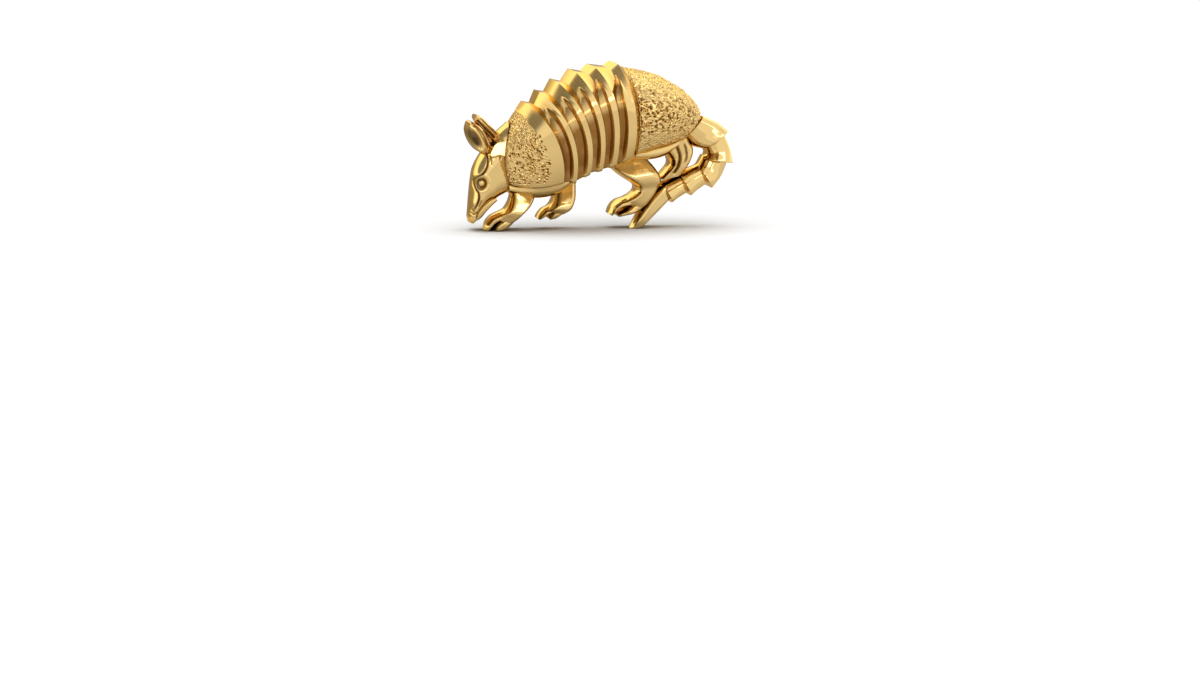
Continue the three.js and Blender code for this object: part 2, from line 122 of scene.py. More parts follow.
def carve(points, marks):
    # grooves, raised lips and dents cut into the front; the fourth column keeps how much painted shade each
    # point gets
    for mark in marks:
        if "line" in mark:
            d, place, side = nearLine(points[:, :2], mark["line"])
            first, final = mark.get("ends", carving["ends"])
            fade = smooth(place / first) * smooth((1 - place) / final)
            shape = np.exp(-((d / mark["width"]) ** 2)) * fade
            onLip = side * mark.get("lipSide", 1) > 0
            lip = smooth(d / mark["width"]) * np.exp(-((d / (carving["lipReach"] * mark["width"])) ** 2))
            points[:, 2] += mark.get("lip", 0.0) * fade * onLip * lip
            full = carving["lineTone"]
        else:
            turn = math.radians(mark.get("turn", 0))
            dx, dz = points[:, 0] - mark["at"][0], points[:, 1] - mark["at"][1]
            a = (dx * math.cos(turn) + dz * math.sin(turn)) / mark["size"][0]
            b = (-dx * math.sin(turn) + dz * math.cos(turn)) / mark["size"][1]
            shape = np.exp(-(a * a + b * b) ** mark.get("power", 1))
            full = carving["dentTone"]
        points[:, 2] -= mark["depth"] * shape
        points[:, 3] = np.maximum(points[:, 3], np.clip(mark["depth"] / full, 0, 1) * shape)
    return points


gold = {
    "tone": (0.97, 0.68, 0.27),
    "glancing": (1.0, 0.74, 0.36),
    # painted shade colours for the hollows: pits on the shields, the flute channels (browned like gold
    # mirrored in gold), and creases
    "hollowShade": (0.2, 0.1, 0.035),
    "channel": (0.38, 0.18, 0.042),
    "creases": (0.075, 0.042, 0.02),
    "echo": (0.6, 0.45, 0.25),
    "fineScale": 5200,
    "fineDetail": 4,
    "broadScale": 420,
    "broadDetail": 3,
    "patchFrom": (0.3, 0.7),
    "patchTo": (0.8, 1.15),
    "hollowShadeDull": 0.25,
    "unevenHeight": 0.00001,
}


def mathNode(tree, operation, *values, clamp=False):
    # each value is a number or another node's socket
    node = tree.nodes.new("ShaderNodeMath")
    node.operation = operation
    node.use_clamp = clamp
    for socket, value in zip(node.inputs, values):
        if isinstance(value, (int, float)):
            socket.default_value = value
        else:
            tree.links.new(value, socket)
    return node.outputs["Value"]


def rangeNode(tree, value, start, end, low=0.0, high=1.0, kind="LINEAR"):
    node = tree.nodes.new("ShaderNodeMapRange")
    node.interpolation_type = kind
    for label, number in (("From Min", start), ("From Max", end), ("To Min", low), ("To Max", high)):
        node.inputs[label].default_value = number
    tree.links.new(value, node.inputs["Value"])
    return node.outputs["Result"]


def noiseNode(tree, place, scale, detail):
    node = tree.nodes.new("ShaderNodeTexNoise")
    node.inputs["Scale"].default_value = scale
    node.inputs["Detail"].default_value = detail
    tree.links.new(place, node.inputs["Vector"])
    return node.outputs["Fac"]


def colourMix(tree, factor, a):
    # colour a where the factor is 0; the caller sets or links B
    node = tree.nodes.new("ShaderNodeMix")
    node.data_type = "RGBA"
    tree.links.new(factor, node.inputs["Factor"])
    tree.links.new(a, node.inputs["A"])
    return node


def buildCastingGroup():
    # polish marks, a breath of unevenness, and painted shade in the hollows, made patchy by a broad noise
    group = bpy.data.node_groups.new("wearAndHollowShade", "ShaderNodeTree")
    for label, kind in (("Gold", "Color"), ("Hollow shade", "Color"), ("Hollow shade amount", "Float"),
                        ("Roughness", "Float"), ("Unevenness", "Float")):
        group.interface.new_socket(label, in_out="INPUT", socket_type=f"NodeSocket{kind}")
    for label, kind in (("Color", "Color"), ("Roughness", "Float"), ("Normal", "Vector")):
        group.interface.new_socket(label, in_out="OUTPUT", socket_type=f"NodeSocket{kind}")
    given = group.nodes.new("NodeGroupInput").outputs
    result = group.nodes.new("NodeGroupOutput").inputs
    place = group.nodes.new("ShaderNodeTexCoord").outputs["Object"]
    hollow = group.nodes.new("ShaderNodeAttribute")
    hollow.attribute_name = "hollow"
    fine = noiseNode(group, place, gold["fineScale"], gold["fineDetail"])
    broad = noiseNode(group, place, gold["broadScale"], gold["broadDetail"])
    patch = rangeNode(group, broad, *gold["patchFrom"], *gold["patchTo"])
    # painted shade: darker where the hollow layer is high, patchy with the broad noise
    patchyShade = mathNode(group, "MULTIPLY", hollow.outputs["Fac"], patch)
    amount = mathNode(group, "MULTIPLY", patchyShade, given["Hollow shade amount"], clamp=True)
    colour = colourMix(group, amount, given["Gold"])
    group.links.new(given["Hollow shade"], colour.inputs["B"])
    group.links.new(colour.outputs["Result"], result["Color"])
    rough = mathNode(group, "MULTIPLY", given["Roughness"], patch)
    group.links.new(mathNode(group, "MULTIPLY_ADD", amount, gold["hollowShadeDull"], rough),
                    result["Roughness"])
    bump = group.nodes.new("ShaderNodeBump")
    bump.inputs["Distance"].default_value = gold["unevenHeight"]
    group.links.new(given["Unevenness"], bump.inputs["Strength"])
    group.links.new(mathNode(group, "ADD", fine, broad), bump.inputs["Height"])
    group.links.new(bump.outputs["Normal"], result["Normal"])
    return group


wearAndHollowShade = buildCastingGroup()


def goldMaterial(name, hollowShade, hollowShadeAmount, roughness, unevenness):
    material = bpy.data.materials.new(name)
    material.use_nodes = True
    tree = material.node_tree
    shader = tree.nodes["Principled BSDF"]
    shader.inputs["Metallic"].default_value = 1.0
    shader.inputs["Specular Tint"].default_value = (*gold["glancing"], 1)
    wear = tree.nodes.new("ShaderNodeGroup")
    wear.node_tree = wearAndHollowShade
    wear.inputs["Gold"].default_value = (*gold["tone"], 1)
    wear.inputs["Hollow shade"].default_value = (*hollowShade, 1)
    wear.inputs["Hollow shade amount"].default_value = hollowShadeAmount
    wear.inputs["Roughness"].default_value = roughness
    wear.inputs["Unevenness"].default_value = unevenness
    # gold mirrored in gold is browner than one clean reflection
    path = tree.nodes.new("ShaderNodeLightPath")
    echo = colourMix(tree, path.outputs["Is Glossy Ray"], wear.outputs["Color"])
    echo.inputs["B"].default_value = (*gold["echo"], 1)
    tree.links.new(echo.outputs["Result"], shader.inputs["Base Color"])
    tree.links.new(wear.outputs["Roughness"], shader.inputs["Roughness"])
    tree.links.new(wear.outputs["Normal"], shader.inputs["Normal"])
    return material


# each finish has its own painted shade colour and amount for its hollows
polishedGold = goldMaterial("polishedGold", gold["creases"], hollowShadeAmount=0.95, roughness=0.12,
                            unevenness=0.12)
flutedGold = goldMaterial("flutedGold", gold["channel"], hollowShadeAmount=1.0, roughness=0.13, unevenness=0.1)
pittedGold = goldMaterial("pittedGold", gold["hollowShade"], hollowShadeAmount=0.9, roughness=0.17, unevenness=0.3)
print("gold mixed")

making = {"merge": 0.002, "sharpAngle": 38, "wallDrop": 1.3, "leanFrom": 0.4}


def gridPiece(name, shape, grid, backInset=0.0, sharpAngle=making["sharpAngle"]):
    # a grid laid on the relief, with straight walls to the flat back; the shape gives x, z, h and how much
    # painted shade each point gets, and for limbs how far the wall below stands back
    mesh = bmesh.new()
    # the hollow layer holds each vertex's amount of painted shade; the walls get none
    hollow = mesh.verts.layers.float.new("hollow")
    tucked = mesh.verts.layers.float_vector.new("tucked")
    bmesh.ops.create_grid(mesh, x_segments=grid[0], y_segments=grid[1], size=1.0)
    flat = np.array([v.co[:2] for v in mesh.verts])
    drawn = shape((flat[:, 0] + 1) / 2, (flat[:, 1] + 1) / 2)
    drawn[:, 2] = np.maximum(drawn[:, 2], backInset)
    for vert, place, depth in zip(mesh.verts, toWorld(drawn), drawn[:, 3]):
        vert.co = place
        vert[hollow] = depth
    if drawn.shape[1] > 4:
        for vert, shift in zip(mesh.verts, drawn[:, 4:6] * unit):
            vert[tucked] = (shift[0], 0, shift[1])
    border = [edge for edge in mesh.edges if edge.is_boundary]
    walls = bmesh.ops.extrude_edge_only(mesh, edges=border)
    for vert in walls["geom"]:
        if isinstance(vert, bmesh.types.BMVert):
            vert.co -= vert[tucked]
            vert[hollow] = 0.0
            vert.co.y = cadHigh.y - backInset * unit
    bmesh.ops.remove_doubles(mesh, verts=mesh.verts[:], dist=making["merge"] * unit)
    border = [edge for edge in mesh.edges if edge.is_boundary]
    bmesh.ops.triangle_fill(mesh, use_beauty=True, edges=border)
    bmesh.ops.recalc_face_normals(mesh, faces=mesh.faces[:])
    piece = meshPiece(name, mesh)
    piece.data.set_sharp_from_angle(angle=math.radians(sharpAngle))
    return piece


def meshPiece(name, mesh):
    data = bpy.data.meshes.new(name)
    mesh.to_mesh(data)
    mesh.free()
    data.shade_smooth()
    piece = bpy.data.objects.new(name, data)
    bpy.context.scene.collection.objects.link(piece)
    return piece


def joinPieces(name, pieces):
    mesh = bmesh.new()
    for piece in pieces:
        mesh.from_mesh(piece.data)
    mesh.to_mesh(pieces[0].data)
    mesh.free()
    for piece in pieces[1:]:
        bpy.data.objects.remove(piece)
    pieces[0].data.name = name
    pieces[0].name = name
    return pieces[0]


def finishPiece(piece, node, material):
    piece.data.materials.clear()
    piece.data.materials.append(material)
    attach(piece, "root")
    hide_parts(node)


# sections of a limb: round on the side that is seen, flat on top, steeper on the far side
headSection = {"flatFrom": -0.25, "flatTo": 0.3, "power": 2.1, "end": 0.62}
legSection = {"flatFrom": -0.5, "flatTo": 0.5, "power": 2.2, "end": 0.62}
toeSection = {"flatFrom": -0.3, "flatTo": 0.2, "power": 2.0, "end": 0.5}


def sectionHeight(section, v):
    # a section is one of the above, or a list of places across and their heights
    if isinstance(section, list):
        return np.interp(v, *zip(*section))
    power, end = section["power"], section["end"]
    rising = np.clip((section["flatFrom"] - v) / (1 + section["flatFrom"]), 0, 1)
    falling = np.clip((v - section["flatTo"]) / (1 - section["flatTo"]), 0, 1)
    return (1 - rising**power) ** (1 / power) * mix(end, 1.0, (1 - falling**power) ** (1 / power))


def limbShape(limb):
    # a form between two rails of (x, z, h), with a section that rises and drops between them
    left, right, rise = (np.array(limb[key], float) for key in ("left", "right", "rise"))
    bow = limb.get("bow", (0, 0))
    drop = limb.get("drop", making["wallDrop"])
    side = limb.get("leanSide", -1)

    def shape(u, v):
        index = u * (len(left) - 1)
        across = np.sin((2 * v - 1) * math.pi / 2)
        a, b = smoothAlong(left, index), smoothAlong(right, index)
        front = a + (b - a) * ((across + 1) / 2)[:, None]
        arch = sectionHeight(limb["profile"], across)
        fade = np.clip(1 - index, 0, 1) ** 2 * (1 - across**2)
        front[:, 0] += bow[0] * fade
        front[:, 1] += bow[1] * fade
        front[:, 2] += (smoothAlong(rise, index) + drop) * arch - drop
        front[:, 2] -= limb.get("tip", 0.0) * np.clip(index - (len(left) - 2), 0, 1) ** 3
        front = np.column_stack([front, np.zeros(len(front))])
        front = carve(front, limb.get("marks", []))
        # the edge on one side stands out a little over the wall below it
        facing = side * (b - a)[:, :2] / np.linalg.norm((b - a)[:, :2], axis=1)[:, None]
        facing = np.column_stack([np.minimum(facing[:, 0], 0), np.maximum(facing[:, 1], 0)])
        edge = np.clip((side * across - making["leanFrom"]) / (1 - making["leanFrom"]), 0, 1)
        shift = limb.get("lean", 0.0) * edge[:, None] * facing
        front[:, :2] += shift
        return np.column_stack([front, shift])

    return shape


def limbPiece(name, limb):
    return gridPiece(name, limbShape(limb), limb["grid"], limb["inset"])


# the inset is how far a piece stops short of the back; neighbours differ, so their backs don't coincide
head = {
    "left": [(-10.7, 12.5, 4.2), (-12.0, 11.35, 4.4), (-12.9, 10.2, 4.6), (-13.85, 8.95, 4.6),
             (-14.75, 7.3, 4.6), (-15.08, 5.6, 4.6), (-15.27, 3.8, 4.6), (-15.4, 2.2, 4.6),
             (-15.46, 1.5, 4.6), (-15.27, 0.98, 4.4)],
    "right": [(-10.6, 5.05, 4.4), (-11.3, 4.58, 4.5), (-12.0, 4.22, 4.5), (-12.6, 3.86, 4.5),
              (-13.1, 3.75, 4.5), (-13.65, 3.35, 4.5), (-14.3, 2.75, 4.5), (-14.8, 2.0, 4.5),
              (-14.83, 1.42, 4.5), (-15.12, 0.98, 4.4)],
    "rise": [1.0, 1.15, 1.25, 1.35, 1.4, 1.35, 1.2, 0.95, 0.85, 0.4],
    "profile": headSection, "drop": 2.4, "lean": 0.22, "bow": (-0.8, 0), "tip": 0.3,
    "marks": [
        {"line": [(-13.5, 9.55), (-13.5, 8.44), (-13.7, 7.55), (-14.16, 6.86), (-14.74, 6.26),
                  (-14.93, 5.71), (-14.85, 5.09), (-14.68, 4.57), (-14.68, 3.89), (-15.0, 3.05),
                  (-15.3, 2.45)], "width": 0.1, "depth": 0.3, "lip": 0.07, "lipSide": -1,
         "ends": (0.03, 0.03)},
        {"line": [(-15.6, 2.3), (-15.3, 2.2), (-15.0, 2.28), (-14.75, 2.4)], "width": 0.09, "depth": 0.2,
         "ends": (0.1, 0.1)},
        {"line": [(-14.3, 3.85), (-14.5, 3.4), (-14.66, 3.0)], "width": 0.08, "depth": 0.14},
        {"line": [(-13.2, 8.85), (-13.13, 8.4), (-13.15, 7.7)], "width": 0.08, "depth": 0.2,
         "ends": (0.1, 0.4)},
        {"line": [(-12.15, 9.0), (-12.1, 8.7), (-12.15, 8.4)], "width": 0.08, "depth": 0.16,
         "ends": (0.1, 0.4)},
        {"line": [(-13.3, 9.6), (-12.85, 10.15), (-12.4, 10.3), (-11.9, 10.75)], "width": 0.12,
         "depth": 0.22, "lip": 0.1, "lipSide": 1, "ends": (0.1, 0.2)},
        {"at": (-15.32, 1.72), "size": (0.1, 0.07), "depth": 0.14, "turn": 30},
    ],
    "grid": (190, 120), "inset": 0.012,
}
eye = {
    "at": (-14.28, 5.8), "ball": 0.34, "height": 5.58, "segments": (48, 24), "socket": 0.68, "depth": 0.62,
    "aside": 0.14, "squash": 0.92, "ring": 0.88, "ringWidth": 0.12, "ringHeight": 0.05, "ringFade": 0.5,
}
# a flat slope on the neck, which ends below in a small wavy step
neckFacet = {
    "left": -13.45, "low": 8.8, "top": 10.8, "height": 5.95, "slope": 0.49, "wave": 0.08, "waves": 4,
    "lowFade": 0.2, "fade": 0.3, "lift": 0.9,
}


def headShape(u, v):
    front = limbShape(head)(u, v)
    x, z = front[:, 0] - eye["at"][0], (front[:, 1] - eye["at"][1]) * eye["squash"]
    bowl = np.exp(-((np.hypot(x + eye["aside"], z) / eye["socket"]) ** 4))
    ring = np.exp(-(((np.hypot(x, z) - eye["ring"]) / eye["ringWidth"]) ** 2))
    ring *= smooth((x + eye["ringFade"]) / eye["ringFade"])
    front[:, 2] += eye["ringHeight"] * ring - eye["depth"] * bowl
    # the socket bowl also gets painted shade
    front[:, 3] = np.maximum(front[:, 3], bowl)
    x, z = front[:, 0], front[:, 1]
    plane = neckFacet["height"] - neckFacet["slope"] * (z - neckFacet["low"])
    step = neckFacet["low"] + neckFacet["wave"] * np.sin(neckFacet["waves"] * x)
    inside = smooth((z - step) / neckFacet["lowFade"]) * smooth((x - neckFacet["left"]) / neckFacet["fade"])
    inside *= smooth((neckFacet["top"] - z) / neckFacet["fade"])
    front[:, 2] = mix(front[:, 2], np.minimum(plane, front[:, 2] + neckFacet["lift"]), inside)
    return front


finishPiece(gridPiece("headCast", headShape, head["grid"], head["inset"]), "head", polishedGold)

jaw = {
    "left": [(-12.5, 4.05, 4.4), (-13.32, 3.7, 4.5), (-14.2, 2.95, 4.6), (-14.78, 2.12, 4.6),
             (-15.0, 1.5, 4.4)],
    "right": [(-12.3, 3.6, 4.4), (-13.05, 2.95, 4.4), (-13.75, 2.2, 4.4), (-14.27, 1.6, 4.4),
              (-14.8, 1.25, 4.3)],
    "rise": [0.2, 0.4, 0.45, 0.4, 0.2],
    "profile": toeSection, "drop": 0.5, "lean": 0.2,
    "grid": (60, 24), "inset": 0.022,
}
finishPiece(limbPiece("jawCast", jaw), "lower_jaw", polishedGold)

eyeMesh = bmesh.new()
eyePlace = Vector(toWorld(np.array([[*eye["at"], eye["height"]]]))[0])
bmesh.ops.create_uvsphere(eyeMesh, u_segments=eye["segments"][0], v_segments=eye["segments"][1],
                          radius=eye["ball"] * unit, matrix=Matrix.Translation(eyePlace))
finishPiece(meshPiece("eyeBall", eyeMesh), "eye", polishedGold)

earNear = {
    "left": [(-13.6, 9.1, 4.2), (-14.25, 9.2, 4.5), (-14.92, 9.8, 4.7), (-15.45, 10.7, 4.8),
             (-15.7, 11.75, 4.7), (-15.48, 12.72, 4.4)],
    "right": [(-12.9, 9.9, 4.4), (-13.2, 10.45, 4.6), (-13.45, 11.1, 4.7), (-13.9, 11.85, 4.7),
              (-14.55, 12.52, 4.6), (-15.3, 12.85, 4.4)],
    "rise": [0.4, 0.55, 0.65, 0.7, 0.6, 0.3],
    "profile": [(-1, 0), (-0.98, 0.42), (-0.93, 0.68), (-0.85, 0.86), (-0.72, 0.97), (-0.58, 1.0),
                (0.1, 0.98), (0.3, 0.97), (0.42, 0.92), (0.5, 0.93), (0.65, 0.98), (0.8, 1.0), (0.93, 0.95),
                (1, 0.85)],
    "drop": 3.4,
    "marks": [
        {"at": (-15.02, 11.0), "size": (1.38, 0.5), "depth": 0.62, "turn": -58, "power": 3},
        {"line": [(-15.3, 12.55), (-14.6, 12.1), (-13.95, 11.2), (-13.6, 10.3), (-13.4, 9.7)], "width": 0.1,
         "depth": 0.16, "ends": (0.15, 0.1)},
    ],
    "grid": (120, 90), "inset": 0.028,
}
earFar = {
    "left": [(-12.5, 10.1, 3.2), (-13.1, 10.82, 3.5), (-13.8, 11.68, 3.7), (-14.42, 12.5, 3.7),
             (-14.76, 13.2, 3.4)],
    "right": [(-11.7, 11.3, 3.2), (-12.45, 11.85, 3.5), (-13.32, 12.7, 3.7), (-13.95, 13.32, 3.7),
              (-14.6, 13.55, 3.4)],
    "rise": [0.6, 0.6, 0.6, 0.5, 0.3],
    "profile": [(-1, 0), (-0.97, 0.4), (-0.9, 0.68), (-0.75, 0.92), (-0.5, 1.0), (-0.2, 0.97), (0.1, 0.96),
                (0.4, 1.0), (0.7, 1.0), (0.9, 0.92), (1, 0.8)],
    "drop": 2.6,
    "marks": [
        {"line": [(-14.6, 13.1), (-14.1, 12.5), (-13.3, 11.7), (-12.5, 10.9)], "width": 0.13, "depth": 0.34,
         "lip": 0.08, "ends": (0.1, 0.05)},
        {"line": [(-14.35, 13.3), (-13.7, 12.75), (-13.0, 12.0), (-12.2, 11.3)], "width": 0.09,
         "depth": 0.18, "ends": (0.15, 0.05)},
    ],
    "grid": (80, 50), "inset": 0.034,
}
finishPiece(limbPiece("earNearCast", earNear), "ear_near", polishedGold)
finishPiece(limbPiece("earFarCast", earFar), "ear_far", polishedGold)
print("head done")

curvePlaces = ("top", "bend", "low")
curveNumbers = ("wall", "high", "rim", "crown", "power")


def shellCurve(*values):
    return dict(zip(curvePlaces + curveNumbers, values))


# the shell's curves, from the back edge over the body to the belly: each stands on a wall, swells to its
# greatest height at the crown and falls to its rim; top, bend and low come first, then the five numbers
shell = {
    "collar": shellCurve((-10.47, 12.57), (-12.6, 8.8), (-10.85, 5.3), 0.0, 6.6, 5.6, 0.45, 2.1),
    "crests": [
        shellCurve((-8.88, 15.0), (-5.15, 10.95), (-5.15, 5.85), 4.2, 11.5, 9.0, 0.42, 2.1),
        shellCurve((-7.35, 16.3), (-3.3, 11.8), (-3.75, 5.9), 4.8, 12.0, 9.4, 0.42, 2.4),
        shellCurve((-5.45, 17.57), (-1.45, 12.8), (-2.1, 6.85), 5.4, 12.0, 9.4, 0.43, 2.3),
        shellCurve((-3.32, 18.7), (0.05, 13.8), (-0.65, 7.25), 5.8, 11.9, 9.2, 0.44, 2.2),
        shellCurve((-1.05, 19.25), (1.75, 15.1), (1.05, 7.65), 6.0, 11.4, 8.7, 0.47, 2.0),
        shellCurve((1.65, 19.6), (3.75, 14.45), (3.1, 8.4), 5.2, 10.8, 7.9, 0.5, 1.8),
    ],
    "rearGroove": shellCurve((2.75, 18.9), (4.0, 14.3), (3.55, 8.5), 3.0, 9.9, 7.4, 0.5, 1.8),
    "pelvis": [
        shellCurve((2.8, 18.9), (4.0, 14.3), (3.6, 8.9), 0.0, 9.8, 7.4, 0.5, 1.8),
        shellCurve((6.0, 18.25), (7.1, 14.1), (5.4, 9.4), 0.0, 9.8, 7.2, 0.5, 1.8),
        shellCurve((8.4, 17.26), (9.4, 13.9), (7.2, 9.7), 0.0, 8.9, 6.6, 0.5, 1.8),
        shellCurve((10.3, 15.98), (10.95, 13.4), (8.9, 10.25), 0.0, 7.6, 6.0, 0.5, 1.9),
        shellCurve((11.55, 14.52), (11.45, 12.9), (10.1, 11.05), 0.0, 6.3, 5.5, 0.5, 2.0),
        shellCurve((12.08, 13.05), (10.95, 12.7), (10.5, 11.4), 0.0, 5.5, 5.0, 0.5, 2.2),
    ],
    "lean": 0.35,
    "tallWall": 2,
    "wallPower": 0.75,
}
# five channels between six crests; depths in millimetres, places as shares of the way across or down
flutes = {
    "valleyAtEdge": (0.42, 0.43, 0.43, 0.56, 0.62), "valleyInFront": 0.12,
    "lipAtEdge": 0.8, "lip": (0.7, 0.7, 0.66, 0.65, 0.52),
    "toothDepth": (0.8, 0.82, 0.84, 0.6, 0.49),
    "archDepth": 1.15, "archLip": 0.2, "archFrom": 0.07, "archRound": 0.05, "archLength": 0.085,
    "grooveDepth": 0.85, "grooveLip": 0.03, "grooveCurve": 0.7, "settle": (0.12, 0.42),
    "floorShare": 0.72, "floorColumns": 0.5, "floorRise": 0.12, "ripple": 0.006, "ripples": 3,
    "edgeZone": 0.4, "bellyZone": 0.12, "bellyShare": 0.35, "length": 11.0, "under": 0.35,
    # the tone numbers set the painted shade in the channels: more where deeper, none at the back edge, and
    # stronger in the lower part as a painted darker reflection
    "toneDepths": (0.12, 0.42), "toneStart": 0.12, "toneEdge": (0.4, 0.5), "upperTone": 0.4,
    "rearTone": 0.9,
    "columns": (28, 12, 10), "rows": 260, "rowsPower": 1.15, "inset": 0.0,
    "sharpAngles": (24, 24, 24, 24, 45),
}


def between(value, ends):
    return smooth((value - ends[0]) / (ends[1] - ends[0]))


def blendCurves(a, b, w):
    mixed = {key: mix(a[key], b[key], w) for key in curveNumbers}
    for key in curvePlaces:
        mixed[key] = mix(np.array(a[key]), np.array(b[key]), w[:, None])
    return mixed


def curvesThrough(curves, index):
    return {key: smoothAlong([curve[key] for curve in curves], index) for key in curvePlaces + curveNumbers}


def overBody(curve, t):
    t = np.clip(t, 0, 1)
    flat = (1 - t)[:, None] ** 2 * curve["top"] + (2 * t * (1 - t))[:, None] * curve["bend"]
    flat += (t * t)[:, None] * curve["low"]
    swell = np.clip(1 - np.clip(1 - t / curve["crown"], 0, 1) ** curve["power"], 0, 1)
    standing = np.clip(curve["wall"] / shell["tallWall"], 0, 1)
    swell = swell ** mix(1 / curve["power"], shell["wallPower"], standing)
    rising = curve["wall"] + (curve["high"] - curve["wall"]) * swell
    k = np.clip((t - curve["crown"]) / (1 - curve["crown"]), 0, 1)
    falling = curve["high"] - (curve["high"] - curve["rim"]) * k**2
    return np.column_stack([flat, np.where(t < curve["crown"], rising, falling)])


def facingFront(normal):
    normal /= np.linalg.norm(normal, axis=1)[:, None] + tiny
    return normal * np.where(normal[:, 2] < 0, -1, 1)[:, None]


def outward(curve, t, step=0.01):
    tangent = overBody(curve, t + step) - overBody(curve, t - step)
    axis = np.array([1.0, shell["lean"], 0.0])
    return facingFront(np.cross(np.broadcast_to(axis, tangent.shape), tangent))


def valleyShare(k, t):
    return mix(flutes["valleyAtEdge"][k], flutes["valleyInFront"], smooth(t / flutes["edgeZone"]))


def lipShare(k, t):
    return mix(flutes["lipAtEdge"], flutes["lip"][k], smooth(t / flutes["edgeZone"]))


def fluteDepth(k, w, t):
    # plain teeth at the back edge; in front a channel behind each crest and a flat strip up to the next
    valley, lip = valleyShare(k, t), lipShare(k, t)
    down = np.clip(w / valley, 0, 1)
    up = np.clip((w - valley) / (1 - valley), 0, 1)
    tooth = flutes["toothDepth"][k] * np.where(w < valley, down, 1 - up)
    settled = between(t, flutes["settle"])
    deepest = mix(flutes["archDepth"], flutes["grooveDepth"], settled)
    lipDepth = mix(flutes["archLip"], flutes["grooveLip"], settled)
    side = np.clip((w - valley) / (lip - valley), 0, 1)
    floor = flutes["floorShare"]
    bottom = deepest * (1 - flutes["floorRise"] * side / floor)
    bottom += flutes["ripple"] * settled**2 * np.sin(2 * math.pi * flutes["ripples"] * side / floor)
    channel = mix(bottom, lipDepth, np.clip((side - floor) / (1 - floor), 0, 1))
    strip = lipDepth * (1 - np.clip((w - lip) / (1 - lip), 0, 1))
    groove = np.where(w < lip, channel, strip)
    groove = np.where(w < valley, deepest * down ** flutes["grooveCurve"], groove)
    middle = (2 * w - valley - lip) / (lip - valley)
    start = flutes["archFrom"] + flutes["archRound"] * middle**2
    depth = mix(tooth, groove, smooth((t - start) / flutes["archLength"]))
    return depth * mix(1.0, flutes["bellyShare"], between(t, (1 - flutes["bellyZone"], 1)))


def rolledOver(front, t, form):
    # the lower edge turns under with a round
    left = (1 - t) * form["length"]
    front[:, 2] -= form["under"] * roundOff(np.clip(1 - left / form["under"], 0, 1))
    return front


def rolledIn(front, reach, roll):
    # the leading edge turns down with a round, less where it is close to the back, and gets painted shade
    # there
    turn = np.clip(1 - reach / roll["radius"], 0, 1)
    front[:, 2] -= roll["depth"] * roundOff(turn) * smooth(front[:, 2] / roll["fromBack"])
    return np.column_stack([front, roll["tone"] * turn**2])


def flutePoint(k, w, t):
    curve = blendCurves(shell["crests"][k], shell["crests"][k + 1], w)
    depth = fluteDepth(k, w, t)
    front = overBody(curve, t) - outward(curve, t) * depth[:, None]
    # painted shade in the channels, stronger in their lower part as a painted darker reflection
    tone = mix(flutes["upperTone"], 1.0, between(t, flutes["toneEdge"])) * smooth(t / flutes["toneStart"])
    return np.column_stack([front, between(depth, flutes["toneDepths"]) * tone])


def bandShape(number):
    # from the valley before a crest, over the crest, to the valley after it
    before, after = number - 1, number
    last = len(shell["crests"]) - 1
    channel, strip, slope = flutes["columns"]
    floorEnd = channel * flutes["floorColumns"]

    def shape(u, v):
        t = np.clip(v, 0, 1) ** flutes["rowsPower"]
        column = u * (channel + strip + slope)
        onFloor = column / floorEnd * flutes["floorShare"]
        onSide = mix(flutes["floorShare"], 1.0, (column - floorEnd) / (channel - floorEnd))
        side = np.where(column < floorEnd, onFloor, onSide)
        lip = lipShare(before, t)
        onStrip = mix(lip, 1.0, (column - channel) / strip)
        w = np.where(column <= channel, mix(valleyShare(before, t), lip, side), onStrip)
        rising = column <= channel + strip
        front = np.zeros((len(u), 4))
        front[rising] = flutePoint(before, np.clip(w, 0, 1)[rising], t[rising])
        k = np.clip((column - channel - strip) / slope, 0, 1)[~rising]
        falling = t[~rising]
        if number < last:
            front[~rising] = flutePoint(after, k * valleyShare(after, falling), falling)
        else:
            curve = blendCurves(shell["crests"][last], shell["rearGroove"], k)
            # painted shade growing towards the rear groove
            front[~rising] = np.column_stack([overBody(curve, falling), flutes["rearTone"] * k**2])
        return rolledOver(front, t, flutes)

    return shape


def scatter(texture, inside):
    # places in shares of a shield, random but always the same; spare ones make up for those outside
    rng = np.random.default_rng(texture["seed"])
    spots = rng.random((texture["count"] * pitting["spare"], 2))
    return spots[inside(spots[:, 0], spots[:, 1])][:texture["count"]], rng


def spaced(spots, gap):
    # keep only spots that are not closer together than the gap
    kept = []
    for spot in spots:
        if not kept or np.min(np.linalg.norm(np.array(kept) - spot, axis=1)) > gap:
            kept.append(spot)
    return np.array(kept)


# one mark of the texture, in shares of its own radius: each mound has its place, width, height and power
pitting = {
    "spare": 3, "sizePower": 1.6, "search": 2.2, "pitPower": 1.5, "pitLip": (1.15, 0.22, 0.03, 2),
    "ring": (0.85, 0.2, 0.07, 2), "bowl": (0.0, 0.62, -0.16, 4), "knob": (0.0, 0.3, 0.15, 2),
    "ringEnd": 1.5, "ringRadius": 0.3, "ringTone": 0.5, "toneDepths": (0.02, 0.18),
}


def mound(d, place, width, height, power):
    return height * np.exp(-(((d - place) / width) ** power))


